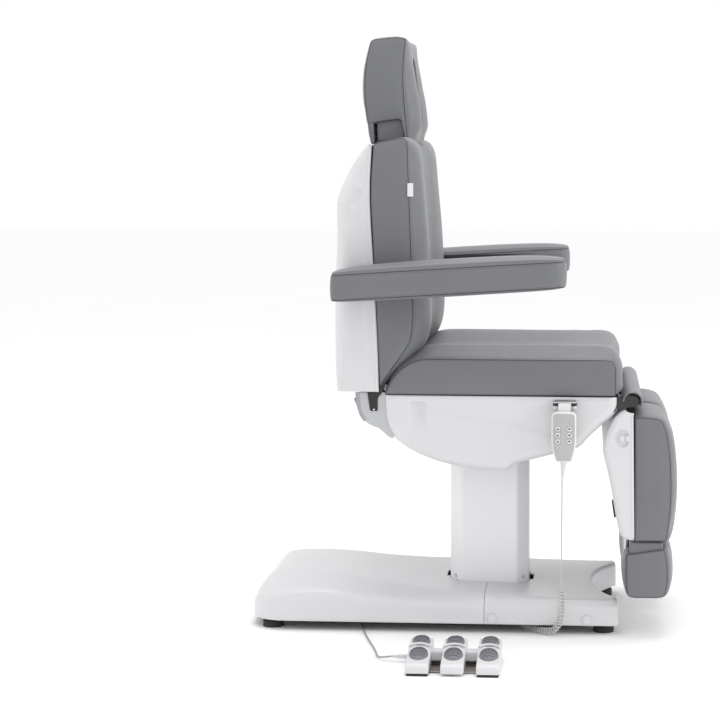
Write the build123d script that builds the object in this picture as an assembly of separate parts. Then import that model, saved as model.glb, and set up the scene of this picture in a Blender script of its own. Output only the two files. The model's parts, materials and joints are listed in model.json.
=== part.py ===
from build123d import *
import os
from math import atan2, degrees, hypot, pi, radians, sqrt, tan

os.makedirs("parts", exist_ok=True)

# Facial treatment bed: powered column, tilting seat, reclining back, two hinged leg rests.
# Millimetres. While it is modelled, x = 0 and y = 0 is the column's axis, +X points to the foot
# end, +Y to the bed's left side and z = 0 is the floor. Every part is moved once, on saving, so
# that the origin is the middle of the whole object's footprint.

# ---- driving dimensions ------------------------------------------------------------------
# footprint
BASE_REAR = -631.0
BASE_FRONT = 349.0
BASE_HALF = 255.0
BASE_SPLIT = -4.0
PLUG_PLACES = (16.0, 266.0)
FLOOR_RAIL_IN, FLOOR_RAIL_OUT = 190.0, 220.0
FLOOR_RAIL_LOW, FLOOR_RAIL_HIGH = 30.0, 60.0
FEET = ((-572.0, 205.0), (310.0, 205.0))
FOOT_GLAND = (-372.0, -58.0, 14.0)
HAND_GLAND = (68.0, -134.0, 20.0)
SKIRT_BOTTOM = 25.0
LEG_PAD_FRONT = 496.0
FOOT_CONTROL_FRONT = -666.0
ARM_OUTER = 430.0
SHIFT_X = -(BASE_REAR + LEG_PAD_FRONT) / 2
SHIFT_Y = -(FOOT_CONTROL_FRONT + ARM_OUTER) / 2

# lifting column (octagonal tubes)
COLUMN_HALF_X = 107.0
COLUMN_HALF_Y = 88.0
COLUMN_CHAMFER = 31.0
COLUMN_WALL = 4.0
COLUMN_GAP = 1.5
COLUMN_FOOT = 60.0
OUTER_TOP = 472.0
HEAD_BOTTOM = 560.0
HEAD_TOP = 574.0
INNER_BOTTOM = 165.0
LIFT_ARM_Y = (-168.0, -132.0)

# seat
SEAT_HALF = 305.0
SHELL_HALF = 300.0
SHELL_WALL = 4.0
CUSHION_BOTTOM = 634.0
CUSHION_TOP = 757.0
TILT_X, TILT_Z = 60.0, 606.0
BACK_X, BACK_Z = -280.0, 636.0
KNEE_X, KNEE_Z = 382.0, 622.0
DRUM_RADIUS = 68.0
KNEE_RADIUS = 25.0
RAIL_IN, RAIL_OUT = 215.0, 245.0
RAIL_LOW, RAIL_HIGH = 600.0, 630.0
SEAT_SHELL_OUTLINE = [(-268, 633), (-268, 575), (-243, 515), (-120, 455), (10, 437), (62, 437), (84, 456),
                      (250, 501), (299, 557), (335, 583), (348, 612), (348, 633)]
CREASE = [(-268, 645), (-207, 719), (-130, 762)]

# tilt and backrest actuators
TILT_BODY_X, TILT_BODY_Z = -170.0, 540.0
TILT_CRANK = 80.0
BACK_ACTUATOR_X, BACK_ACTUATOR_Z = 130.0, 560.0
BACK_ACTUATOR_Y = 150.0
BACK_LEVER_X, BACK_LEVER_Z = -20.0, -50.0

# backrest, armrests and headrest
BACK_SHELL_OUTLINE = [(-302, 1284), (-318, 1268), (-350, 1229), (-378, 1172), (-393, 1112), (-388, 1060),
                      (-394, 870), (-394, 726), (-381, 630), (-283, 656), (-296, 976), (-304, 1166)]
ARM_X, ARM_Z = -319.0, 942.0
LINK_X, LINK_Z = -36.0, -24.0
ARM_REAR, ARM_FRONT = -388.0, 213.0
ARM_INNER = 330.0
ARM_SLOPE = 0.0619
ARM_DEPTH = 90.0
ARM_REAR_BOTTOM = 880.6
HEAD_HALF = 150.0
HEAD_X, HEAD_Z = -296.0, 1300.0

# legs
LEG_INNER, LEG_OUTER = 12.0, 303.0
LEG_BACK, LEG_FRONT = 387.0, 490.0
LEG_LOW, LEG_HIGH = 258.0, 590.0
PAD_LOW, PAD_HIGH = 104.0, 238.0
LEVER_X, LEVER_Z = 350.0, 338.0
LEG_SHELL_OUTLINE = [(385, 600), (366, 602), (348, 592), (330, 572), (312, 534), (305, 499), (328, 416),
                     (347, 304), (357, 266), (385, 262)]
ROD_X = 368.0
ROD_ROWS = (-100.0, -215.0)
ROD_RADIUS = 8.0

# controls
HANDSET_FACE = -355.0
HANDSET_BACK = -332.0
BUTTON_COLUMNS = (190.5, 220.0)
BUTTON_ROWS = (558.0, 542.0, 526.0)
BUTTON_RADIUS = 6.3
MODULE_CENTRES = (-143.0, -58.0, 28.5)
MODULE_HALF = 28.5
MODULE_REAR = -500.0
FRONT_PEDAL = (-606.0, 24.0, 30.0, 30.0)
REAR_PEDAL = (-532.0, 24.0, 22.0, 42.0)
FUNCTIONS = ("height", "backrest", "tilt")

# cords: the corners of each route, before the bends are rounded
HAND_CORD_D = 4.0
CURL_D = 18.0
FOOT_CORD_D = 4.5
FOOT_CORD = [(-217, -541, 14), (-233, -540, 12), (-249, -524, 6), (-259, -496, 2.6), (-268, -450, 2.6),
             (-284, -395, 2.6), (-302, -334, 2.6), (-318, -273, 2.6), (-333, -212, 2.6), (-348, -155, 2.6),
             (-363, -112, 4.5), (-371, -84, 9), (-372, -58.6, 10)]
HAND_LEAD = [(201.6, -343.5, 421.5), (201.2, -341, 372), (199.5, -300, 166), (198, -290, 126)]
HAND_CURL = [(198, -290, 125.5), (199.5, -291, 84), (197, -289, 46), (184, -281, 19), (158, -259, 9.4),
             (128, -228, 9.4), (100, -200, 9.4), (76, -172, 10.5), (68, -136.4, 12)]

# clearances
RUNNING_GAP = 0.1
CUSHION_GAP = 2.0


# ---- helpers -----------------------------------------------------------------------------
def save(name, *shapes):
    """Write one node, which may hold several separate solids."""
    whole = shapes[0] if len(shapes) == 1 else Compound(list(shapes))
    export_step(Pos(SHIFT_X, SHIFT_Y, 0) * whole, f"parts/{name}.step")


def block(x, y, z):
    """A box from three (low, high) pairs."""
    middle = [(low + high) / 2 for low, high in (x, y, z)]
    size = [high - low for low, high in (x, y, z)]
    return Pos(*middle) * Box(*size)


def prism(points, low, high, along, radius=0.0):
    """A closed outline pushed along one axis: (x, z) along y, (x, y) along z, (y, z) along x."""
    place = {"x": lambda a, b: (low, a, b), "y": lambda a, b: (a, low, b), "z": lambda a, b: (a, b, low)}
    travel = {"x": (high - low, 0, 0), "y": (0, high - low, 0), "z": (0, 0, high - low)}
    corners = [place[along](a, b) for a, b in points]
    if radius:
        line = FilletPolyline(*corners, radius=radius, close=True)
    else:
        line = Polyline(*corners, close=True)
    return Solid.extrude(Face(Wire(line.edges())), Vector(*travel[along]))


def rod(start, end, radius):
    """A round bar between two points."""
    axis = Vector(*end) - Vector(*start)
    return Solid.make_cylinder(radius, axis.length, Plane(origin=start, z_dir=axis))


def pin(x, z, y_low, y_high, radius):
    """A round bar across the bed."""
    return rod((x, y_low, z), (x, y_high, z), radius)


def rectangle(a, b):
    """Corners of a rectangle from two (low, high) pairs."""
    return [(a[0], b[0]), (a[1], b[0]), (a[1], b[1]), (a[0], b[1])]


def octagon(inset):
    """The column's section, drawn smaller all round by an inset."""
    hx = COLUMN_HALF_X - inset
    hy = COLUMN_HALF_Y - inset
    cut = COLUMN_CHAMFER - inset * (2 - sqrt(2))
    return [(hx, -hy + cut), (hx, hy - cut), (hx - cut, hy), (-hx + cut, hy),
            (-hx, hy - cut), (-hx, -hy + cut), (-hx + cut, -hy), (hx - cut, -hy)]


def inset_outline(points, distances):
    """Move each side of an anticlockwise outline inwards by its own distance."""
    lines = []
    for index, (ax, ay) in enumerate(points):
        bx, by = points[(index + 1) % len(points)]
        length = hypot(bx - ax, by - ay)
        nx, ny = -(by - ay) / length, (bx - ax) / length
        move = distances[index]
        lines.append((nx, ny, nx * (ax + nx * move) + ny * (ay + ny * move)))
    moved = []
    for index, (nx, ny, offset) in enumerate(lines):
        px, py, before = lines[index - 1]
        cross = px * ny - py * nx
        moved.append(((before * ny - offset * py) / cross, (px * offset - nx * before) / cross))
    return moved


def mirrored(shape):
    """The same part on the other side of the bed."""
    return mirror(shape, about=Plane.XZ)


def both_sides(shape):
    return shape + mirrored(shape)


def route_radii(points, name):
    """The corner radii of a cord's route: as large as each pair of runs allows."""
    radii = []
    for a, b, c in zip(points, points[1:], points[2:]):
        before = Vector(*b) - Vector(*a)
        after = Vector(*c) - Vector(*b)
        turn = radians(before.get_angle(after))
        radii.append(0.45 * min(before.length, after.length) / tan(turn / 2))
    print(name, "corner radii:", " ".join(f"{radius:.0f}" for radius in radii))
    return radii


def tube_along(points, diameter, name):
    """A cord's plain solid: straight runs joined by tangent arcs."""
    path = Wire(FilletPolyline(*points, radius=route_radii(points, name)).edges())
    section = Plane(origin=path @ 0, z_dir=path % 0) * Circle(diameter / 2)
    tube = sweep(section, path=path)
    print(f"{name}: length {path.length:.0f}, volume ratio "
          f"{tube.volume / (path.length * pi * diameter ** 2 / 4):.4f}")
    return tube


# ---- base ------------------------------------------------------------------------------------
def base_envelope(inset):
    """The outer shape of both base covers, drawn smaller all round by an inset."""
    half = BASE_HALF - inset
    rear = prism(rectangle((BASE_REAR + inset, 200), (-half, half)), 0, 200, "z", radius=110 - inset)
    front = prism(rectangle((-400, BASE_FRONT - inset), (-half, half)), 0, 200, "z", radius=30 - inset)
    crown = [(BASE_REAR + inset, -50), (BASE_FRONT - inset, -50), (BASE_FRONT - inset, 90 - inset),
             (0, 100 - inset), (-250, 116 - inset), (-440, 135 - inset), (-545, 133 - inset),
             (-600 + inset, 100), (BASE_REAR + inset, 60)]
    side = prism(crown, -300, 300, "y", radius=20)
    shoulder = [(-half, -50), (half, -50), (half, 80 - inset), (150, 137 - inset),
                (-150, 137 - inset), (-half, 80 - inset)]
    across = prism(shoulder, -700, 400, "x")
    toe_cut = Pos(481, 0, 100) * Cylinder(200 + inset, 400)
    return ((rear + front) & side & across) - toe_cut


def base_covers():
    """Two moulded covers that meet at a line beside the column."""
    floor_cut = block((-800, 600), (-400, 400), (-100, SKIRT_BOTTOM))
    hollow = base_envelope(0) - base_envelope(SHELL_WALL) - floor_cut
    hollow -= prism(octagon(-2.0), 0, 300, "z")
    hollow -= block((-118, 118), (-34, 34), (60, 300))
    hollow -= block((BASE_REAR - 5, BASE_REAR + 30), (-24, 24), (36, 70))
    for x in PLUG_PLACES:
        hollow -= both_sides(pin(x, 40, -BASE_HALF - 5, -BASE_HALF + 10, 6))
    rear = hollow & block((-800, BASE_SPLIT - 0.5), (-400, 400), (0, 300))
    front = hollow & block((BASE_SPLIT + 0.5, 600), (-400, 400), (0, 300))
    return rear, front


def cover_plugs():
    """Round plugs over the covers' side screws, and the two cord elbows under the base."""
    plugs = []
    for side in (-1, 1):
        for x in PLUG_PLACES:
            head = pin(x, 40, side * BASE_HALF, side * (BASE_HALF + 3), 12.5)
            stem = pin(x, 40, side * (BASE_HALF - 8), side * BASE_HALF, 5.5)
            plugs.append(head + stem)
    for x, y, width in (FOOT_GLAND, HAND_GLAND):
        elbow = block((x - width / 2, x + width / 2), (y, y + 22), (3, 24))
        neck = rod((x, y + 11, 24), (x, y + 11, 44), 6)
        plugs.append(elbow + neck)
    return plugs


def base_frame():
    """Welded floor frame with the column's foot plate and the tray for the control box."""
    height = (FLOOR_RAIL_LOW, FLOOR_RAIL_HIGH)
    between = (-FLOOR_RAIL_IN, FLOOR_RAIL_IN)
    frame = both_sides(block((-590, 325), (FLOOR_RAIL_IN, FLOOR_RAIL_OUT), height))
    for x in (-590.0, -150.0, 120.0, 235.0):
        frame += block((x, x + 30), between, height)
    frame += block((-150, 150), between, (COLUMN_FOOT - 10, COLUMN_FOOT))
    tray_half = FLOOR_RAIL_IN + 10
    frame += block((-460, 140), (-tray_half, tray_half), (FLOOR_RAIL_LOW - 3, FLOOR_RAIL_LOW))
    for x, y, _ in (FOOT_GLAND, HAND_GLAND):
        frame -= rod((x, y + 11, 20), (x, y + 11, 34), 6)
    return frame


def levelling_foot(x, y):
    """Rubber puck moulded on a threaded stud."""
    puck = rod((x, y, 0), (x, y, 16), 27.5) + Pos(x, y, 19) * Cone(27.5, 22, 6)
    return puck + rod((x, y, 22), (x, y, 30), 6)


def rubber_feet():
    feet = [levelling_foot(x, side * y) for x, y in FEET for side in (-1, 1)]
    for x in (MODULE_CENTRES[0], MODULE_CENTRES[2]):
        for y in (FOOT_CONTROL_FRONT + 2, MODULE_REAR - 26):
            feet.append(block((x - 26, x + 26), (y, y + 24), (0, 5)))
    return feet


def base_fasteners():
    """Screws through the column's chamfers into its foot."""
    screws = []
    reach_x = COLUMN_HALF_X - COLUMN_CHAMFER / 2
    reach_y = COLUMN_HALF_Y - COLUMN_CHAMFER / 2
    for sx in (-1, 1):
        for sy in (-1, 1):
            face = Vector(sx * reach_x, sy * reach_y, 112)
            out = Vector(sx, sy, 0).normalized()
            screws.append(rod(tuple(face), tuple(face + out * 2.4), 4.5))
    return screws


def control_box():
    """Electronics box on the tray, with the mains inlet at the head end."""
    box = block((-450, -250), (-30, 130), (FLOOR_RAIL_LOW, 84))
    duct = block((BASE_REAR + 34, -450), (-16, 16), (61, 75))
    inlet = block((BASE_REAR + 4, BASE_REAR + 34), (-22, 22), (40, 68)) + block(
        (BASE_REAR + 24, BASE_REAR + 40), (-16, 16), (61, 75))
    flange = block((BASE_REAR - 0.5, BASE_REAR + 4), (-23, 23), (37, 69))
    socket = block((BASE_REAR - 1, BASE_REAR + 20), (-12, 12), (46, 62))
    return box + duct + inlet + flange - socket


# ---- lifting column ------------------------------------------------------------------------------
def column_tube(inset, low, high):
    return prism(octagon(inset), low, high, "z") - prism(octagon(inset + COLUMN_WALL), low - 5, high + 5, "z")


def lift_actuator_body():
    """Gearbox and guide tube of the spindle drive inside the column."""
    gearbox = block((-40, 40), (-34, 34), (COLUMN_FOOT, 118)) + rod((40, 0, 90), (72, 0, 90), 22)
    tube = rod((0, 0, 118), (0, 0, 430), 22) - rod((0, 0, 122), (0, 0, 440), 15)
    return gearbox + tube


def lift_head():
    """Plate on the inner tube, its tilt lugs, the actuator's outrigger and the spindle rod."""
    plate = prism(octagon(3.0), HEAD_BOTTOM, HEAD_TOP, "z")
    plate += block((-104, 0), (LIFT_ARM_Y[0], -70), (HEAD_BOTTOM, HEAD_TOP))
    plate += block((-186, -60), LIFT_ARM_Y, (HEAD_BOTTOM, HEAD_TOP))
    for y in ((-168, -160), (-140, -132)):
        cheek = prism([(-186, 530), (-154, 530), (-140, HEAD_TOP), (-186, HEAD_TOP)], y[0], y[1], "y")
        plate += cheek
    plate += pin(TILT_BODY_X, TILT_BODY_Z, -168, -132, 5)
    lug = prism([(25, HEAD_BOTTOM), (95, HEAD_BOTTOM), (78, 626), (42, 626)], 62, 74, "y")
    plate += both_sides(lug)
    plate -= pin(TILT_X, TILT_Z, -90, 90, 10 + RUNNING_GAP)
    spindle = rod((0, 0, 215), (0, 0, HEAD_BOTTOM), 13)
    return plate + spindle


# ---- seat ------------------------------------------------------------------------------------------
def seat_frame():
    """Rails, cross members, tilt shaft, hinge brackets at the back and knee shaft at the front."""
    frame = both_sides(block((-250, 335), (RAIL_IN, RAIL_OUT), (RAIL_LOW, RAIL_HIGH)))
    frame += block((-212, -186), (-RAIL_OUT, RAIL_OUT), (RAIL_HIGH, CUSHION_BOTTOM))
    frame += block((150, 180), (-RAIL_IN, RAIL_IN), (RAIL_LOW, RAIL_HIGH))
    frame += block((305, 335), (-288, 288), (RAIL_LOW, RAIL_HIGH))
    frame += pin(TILT_X, TILT_Z, -RAIL_IN, RAIL_IN, 10)
    crank = prism([(TILT_X - 16, TILT_Z + 12), (TILT_X - 9, TILT_Z - TILT_CRANK - 9),
                   (TILT_X + 9, TILT_Z - TILT_CRANK - 9), (TILT_X + 16, TILT_Z + 12)], 4, 12, "y")
    frame += Pos(0, -150, 0) * (crank + mirrored(crank))
    hanger = block((BACK_ACTUATOR_X - 14, BACK_ACTUATOR_X + 14), (205, 215), (548, RAIL_HIGH))
    frame += hanger + pin(BACK_ACTUATOR_X, BACK_ACTUATOR_Z, 130, 205, 6)
    cheek = prism([(-250, 594), (-250, 630), (-264, 632), (-272, 648), (-288, 648), (-298, 630),
                   (-328, 622), (-328, 602), (-306, 592)], 262, 270, "y")
    bracket = cheek + block((-250, -236), (RAIL_OUT, 270), (RAIL_LOW, 628))
    bracket += pin(BACK_X, BACK_Z, 227, 270, 8)
    bracket += pin(BACK_X + LINK_X, BACK_Z + LINK_Z, 270, 281, 4)
    frame += both_sides(bracket)
    arm = [(330, 602), (372, 606), (396, 612), (396, 632), (372, 638), (330, 630)]
    frame += both_sides(prism(arm, 280, 288, "y")) + prism(arm, -5, 5, "y")
    frame += pin(KNEE_X, KNEE_Z, -288, 288, 10)
    return frame


def seat_shell():
    """Moulded tub under the seat, open at the top and cut out round the column."""
    def tub(inset, rise):
        walls = [inset] * 11 + [-rise]
        outline = inset_outline(SEAT_SHELL_OUTLINE, walls)
        side = prism(outline, -SHELL_HALF + inset, SHELL_HALF - inset, "y")
        half = SHELL_HALF - inset
        section = prism([(-half, 800), (-half, 400 + inset), (half, 400 + inset), (half, 800)],
                        -300, 380, "x", radius=50 - inset)
        return side & section

    shell = tub(0, 0) - tub(SHELL_WALL, 20)
    shell -= block((-152, 128), (-128, 128), (400, 560))
    for y in ((-292, -276), (-9, 9), (276, 292)):
        shell -= block((320, 360), y, (596, 640))
    shell -= block((-275, -255), (-SHELL_HALF + SHELL_WALL, SHELL_HALF - SHELL_WALL), (560, 640))
    return shell


def seat_rear_cover():
    """Curved cover round the back hinge, over which the backrest shell passes."""
    ring = pin(BACK_X, BACK_Z, -258, 258, DRUM_RADIUS) - pin(BACK_X, BACK_Z, -262, 262, DRUM_RADIUS - 3)
    keep = prism([(BACK_X, BACK_Z), (BACK_X - 120, BACK_Z - 30), (BACK_X - 90, BACK_Z - 130),
                  (BACK_X + 9, BACK_Z - 130)], -262, 262, "y")
    cover = ring & keep
    for y in ((134, 166), (212, 248), (-248, -212)):
        cover -= block((BACK_X - 80, BACK_X), y, (BACK_Z - 58, BACK_Z))
    return cover


def seat_cushion():
    """Plain solid of the seat upholstery; its rear follows the crease with the backrest."""
    crease = [(x + CUSHION_GAP, 0, z - CUSHION_GAP) for x, z in CREASE]
    rear = ThreePointArc(*crease)
    bottom = Polyline(crease[0], (-260, 0, CUSHION_BOTTOM), (346, 0, CUSHION_BOTTOM), (361, 0, 700),
                      (352, 0, 738), (330, 0, CUSHION_TOP), (-126, 0, CUSHION_TOP), crease[2])
    face = Face(Wire(rear.edges() + bottom.edges()))
    return Pos(0, -SEAT_HALF, 0) * Solid.extrude(face, Vector(0, 2 * SEAT_HALF, 0))


def knee_cover():
    """Half-round upholstered cover over the knee shaft."""
    ring = pin(KNEE_X, KNEE_Z, -274, 274, KNEE_RADIUS) - pin(KNEE_X, KNEE_Z, -280, 280, KNEE_RADIUS - 3.5)
    ring &= block((340, 420), (-280, 280), (KNEE_Z + 2, 660))
    return ring - block((340, 420), (-8, 8), (600, 660))


def tilt_actuator_body():
    eye = pin(TILT_BODY_X, TILT_BODY_Z, -156, -144, 11) - pin(TILT_BODY_X, TILT_BODY_Z, -160, -140, 5 + RUNNING_GAP)
    tube = rod((TILT_BODY_X + 34, -150, 537.9), (TILT_BODY_X + 150, -150, 530.8), 17)
    tube += block((TILT_BODY_X + 8, TILT_BODY_X + 38), (-156, -144), (530, 548))
    tube += block((TILT_BODY_X + 32, TILT_BODY_X + 78), (-170, -130), (500, 548))
    bore = rod((TILT_BODY_X + 60, -150, 536.3), (TILT_BODY_X + 152, -150, 530.7), 9)
    return eye + tube - bore


def tilt_actuator_rod():
    end_x, end_z = TILT_X, TILT_Z - TILT_CRANK
    shaft = rod((TILT_BODY_X + 80, -150, 535.1), (end_x - 8, -150, end_z + 0.5), 7)
    for y in ((-158, -153), (-147, -142)):
        shaft -= block((end_x - 22, end_x), y, (end_z - 10, end_z + 10))
    return shaft + pin(end_x, end_z, -153, -147, 9)


def back_actuator_point(fraction, y=BACK_ACTUATOR_Y):
    """A point of the backrest actuator's axis, from its rear pivot (0) to the rod's eye (1)."""
    end_x, end_z = BACK_X + BACK_LEVER_X, BACK_Z + BACK_LEVER_Z
    return (BACK_ACTUATOR_X + fraction * (end_x - BACK_ACTUATOR_X), y,
            BACK_ACTUATOR_Z + fraction * (end_z - BACK_ACTUATOR_Z))


def backrest_actuator_body():
    eye = pin(BACK_ACTUATOR_X, BACK_ACTUATOR_Z, 143, 157, 13)
    tube = rod(back_actuator_point(0.02), back_actuator_point(0.62), 19)
    motor = rod((90, BACK_ACTUATOR_Y, 530), (-10, BACK_ACTUATOR_Y, 530), 21)
    gearbox = block((68, 106), (131, 169), (520, 574))
    body = eye + tube + motor + gearbox
    body -= pin(BACK_ACTUATOR_X, BACK_ACTUATOR_Z, 120, 180, 6 + RUNNING_GAP)
    return body - rod(back_actuator_point(0.12), back_actuator_point(0.65), 12)


def backrest_actuator_rod():
    shaft = rod(back_actuator_point(0.38), back_actuator_point(0.98), 10)
    shaft -= block((-320, -284), (140, 146), (560, 610))
    shaft -= block((-320, -284), (154, 160), (560, 610))
    return shaft + pin(BACK_X + BACK_LEVER_X, BACK_Z + BACK_LEVER_Z, 146, 154, 8)


# ---- backrest ------------------------------------------------------------------------------------
def backrest_frame():
    """Two uprights on the back hinge, cross members, the actuator's fork and the headrest stem."""
    upright = block((-332, -306), (RAIL_IN, RAIL_OUT), (690, 1240))
    plate = prism([(BACK_X - 14, BACK_Z - 8), (BACK_X + 8, BACK_Z - 9), (BACK_X + 4, BACK_Z + 12),
                   (-306, 700), (-306, 740), (-332, 740), (-332, 690)], 228, 240, "y")
    plate += pin(BACK_X, BACK_Z, 228, 240, 13)
    boss = pin(ARM_X, ARM_Z, RAIL_OUT, 262, 17)
    side = upright + plate + boss
    side -= pin(ARM_X, ARM_Z, 200, 265, 10 + RUNNING_GAP)
    side -= pin(BACK_X, BACK_Z, 200, 265, 8 + RUNNING_GAP)
    frame = both_sides(side)
    for z in (700.0, 1208.0):
        frame += block((-332, -306), (-RAIL_IN, RAIL_IN), (z, z + 28))
    lever_x, lever_z = BACK_X + BACK_LEVER_X, BACK_Z + BACK_LEVER_Z
    fork = prism([(lever_x - 8, lever_z - 6), (lever_x + 8, lever_z - 6), (BACK_X + 2, BACK_Z - 6),
                  (-306, 716), (-332, 716), (BACK_X - 22, BACK_Z)], -12, -6, "y")
    frame += Pos(0, BACK_ACTUATOR_Y, 0) * (fork + mirrored(fork))
    for y in (-60.0, 60.0):
        frame += rod((-316, y, 1230), (-312, y, 1276), 6) + rod((-312, y, 1276), (HEAD_X, y, HEAD_Z), 6)
    frame += pin(HEAD_X, HEAD_Z, -80, 80, 7)
    return frame


def backrest_shell():
    """Moulded back cover, open towards the cushion and at its lower end."""
    def cover(inset, opening):
        walls = [inset] * 8 + [-opening] * 4
        outline = inset_outline(BACK_SHELL_OUTLINE, walls)
        side = prism(outline, -SHELL_HALF + inset, SHELL_HALF - inset, "y")
        half = SHELL_HALF - inset
        plan = prism([(-394 + inset, -half), (-200, -half), (-200, half), (-394 + inset, half)],
                     550, 1400, "z", radius=44 - inset)
        face = prism([(-half, 500), (half, 500), (half, 1288 - inset), (-half, 1288 - inset)],
                     -450, -200, "x", radius=60 - inset)
        return side & plan & face

    shell = cover(0, 0) - cover(SHELL_WALL, 30)
    shell -= pin(ARM_X, ARM_Z, -320, 320, 14)
    return shell - block((-335, -280), (-80, 80), (1252, 1320))


def backrest_cushion():
    """Plain solid of the back upholstery, from the crease up to the headrest."""
    crease = [(x - CUSHION_GAP, 0, z + CUSHION_GAP) for x, z in CREASE]
    low = ThreePointArc(*crease)
    rest = Polyline(crease[2], (-128, 0, 800), (-150, 0, 900), (-155, 0, 1100), (-178, 0, 1262),
                    (-202, 0, 1288), (-292, 0, 1286), (-300, 0, 1166), (-291, 0, 976), (-278, 0, 656), crease[0])
    face = Face(Wire(low.edges() + rest.edges()))
    pad = Pos(0, -SEAT_HALF, 0) * Solid.extrude(face, Vector(0, 2 * SEAT_HALF, 0))
    pad &= prism(rectangle((-SEAT_HALF, SEAT_HALF), (500, 1288)), -450, 0, "x", radius=55)
    pad -= pin(BACK_X, BACK_Z, -310, 310, 20)
    return pad - block((-330, -288), (-80, 80), (1240, 1320))


def headrest_cushion():
    """Pad with an oval breathing hole and a pocket for its hinge."""
    outline = [(-312, 1306), (-200, 1306), (-188, 1350), (-206, 1480), (-236, 1572), (-312, 1574),
               (-330, 1480), (-332, 1400)]
    pad = prism(outline, -HEAD_HALF, HEAD_HALF, "y", radius=16)
    pad &= prism(rectangle((-HEAD_HALF, HEAD_HALF), (1306, 1574)), -400, -100, "x", radius=55)
    hole = Plane(origin=(-400, 0, 1428), x_dir=(0, 0, 1), z_dir=(1, 0, 0)) * SlotOverall(186, 60)
    pad -= extrude(hole, 300)
    return pad - block((-312, -280), (-90, 90), (1290, 1318))


def arm_height(x):
    """Height of the armrest's underside, which rises towards the hand."""
    return ARM_REAR_BOTTOM + ARM_SLOPE * (x - ARM_REAR)


def armrest_pad():
    rear, front = arm_height(ARM_REAR), arm_height(ARM_FRONT)
    outline = [(ARM_REAR, rear), (ARM_FRONT, front), (ARM_FRONT, front + ARM_DEPTH), (ARM_REAR, rear + ARM_DEPTH)]
    pad = prism(outline, -ARM_OUTER, -ARM_INNER, "y", radius=22)
    return pad & prism(rectangle((ARM_REAR, ARM_FRONT), (-ARM_OUTER, -ARM_INNER)), 800, 1100, "z", radius=30)


def armrest_bracket():
    """Side plate under the pad, the pivot shaft and the crank that keeps the armrest level."""
    middle = ARM_DEPTH / 2
    corners = [(x, arm_height(x) + middle + step) for x, step in
               ((-350, -22), (120, -18), (120, 18), (-350, 36))]
    plate = prism(corners, -ARM_INNER + 0.5, -ARM_INNER + 8.5, "y", radius=8)
    shaft = pin(ARM_X, ARM_Z, -ARM_INNER + 8.5, -250, 10)
    end_x, end_z = ARM_X + LINK_X, ARM_Z + LINK_Z
    crank = prism([(end_x - 4, end_z - 9), (ARM_X + 10, ARM_Z - 12), (ARM_X + 10, ARM_Z + 12),
                   (ARM_X - 6, ARM_Z + 14), (end_x - 8, end_z + 4)], -290, -284, "y", radius=3)
    crank += pin(end_x, end_z, -284, -272, 4)
    return plate + shaft + crank


def armrest_link_rods():
    """Rods from the seat brackets to the armrest cranks, parallel to the backrest."""
    low = (BACK_X + LINK_X, BACK_Z + LINK_Z)
    high = (ARM_X + LINK_X, ARM_Z + LINK_Z)
    lean = degrees(atan2(high[0] - low[0], high[1] - low[1]))
    length = hypot(high[0] - low[0], high[1] - low[1])
    bar = block((-5, 5), (273, 280), (0, length)) + rod((0, 273, 0), (0, 280, 0), 8)
    bar += rod((0, 273, length), (0, 280, length), 8)
    for z in (0.0, length):
        bar -= rod((0, 270, z), (0, 283, z), 4.3)
    return both_sides(Pos(low[0], 0, low[1]) * Rot(0, lean, 0) * bar)


# ---- legs ----------------------------------------------------------------------------------------
def leg_frame():
    """Hub on the knee shaft, two arms and the guide tubes of the foot pad."""
    frame = pin(KNEE_X, KNEE_Z, -278, -14, 17)
    for y in ROD_ROWS:
        frame += prism([(360, 540), (380, 540), (384, 618), (370, 622)], y - 6, y + 6, "y")
        frame += rod((ROD_X, y, 292), (ROD_X, y, 560), ROD_RADIUS + 4)
    frame += block((362, 374), (ROD_ROWS[1], ROD_ROWS[0]), (480, 500))
    frame -= pin(KNEE_X, KNEE_Z, -290, 0, 10 + RUNNING_GAP)
    for y in ROD_ROWS:
        frame -= rod((ROD_X, y, 280), (ROD_X, y, 440), ROD_RADIUS + RUNNING_GAP)
    return frame


def leg_shell():
    """Moulded cover behind the leg cushion, open towards it and at the knee."""
    walls = [-25] + [3.5] * 8 + [-30]
    inner = prism(inset_outline(LEG_SHELL_OUTLINE, walls), -LEG_OUTER + 3.5, -LEG_INNER - 3.5, "y")
    shell = prism(LEG_SHELL_OUTLINE, -LEG_OUTER, -LEG_INNER, "y") - inner
    shell -= pin(KNEE_X, KNEE_Z, -310, 0, 28)
    for y in ROD_ROWS:
        shell -= rod((ROD_X, y, 250), (ROD_X, y, 275), ROD_RADIUS + 2)
    return shell - block((330, 352), (-163, -147), (316, 350))


def release_lever():
    """Paddle behind the leg that frees the foot pad."""
    paddle = prism([(331, 338), (338, 338), (344, 298), (337, 297)], -175, -135, "y")
    stem = block((336, 352), (-160, -150), (331, 337.5)) + pin(LEVER_X, LEVER_Z, -160, -150, 4)
    return paddle + stem


def leg_cushion():
    outline = rectangle((LEG_BACK, LEG_FRONT), (LEG_LOW, LEG_HIGH))
    pad = prism(outline, -LEG_OUTER, -LEG_INNER, "y", radius=12)
    return pad & prism(rectangle((-LEG_OUTER, -LEG_INNER), (LEG_LOW, LEG_HIGH)), 300, 520, "x", radius=20)


def footpad_cushion():
    pad = prism(rectangle((359, LEG_PAD_FRONT), (PAD_LOW, PAD_HIGH)), -LEG_OUTER, -LEG_INNER, "y", radius=20)
    neck = block((378, 470), (-LEG_OUTER + 10, -LEG_INNER - 10), (PAD_HIGH - 10, 253))
    whole = pad + neck
    for y in ROD_ROWS:
        whole -= rod((ROD_X, y, 170), (ROD_X, y, 260), ROD_RADIUS + 0.4)
    return whole


def footpad_rods():
    return [rod((ROD_X, y, 170), (ROD_X, y, 420), ROD_RADIUS) for y in ROD_ROWS]


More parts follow.
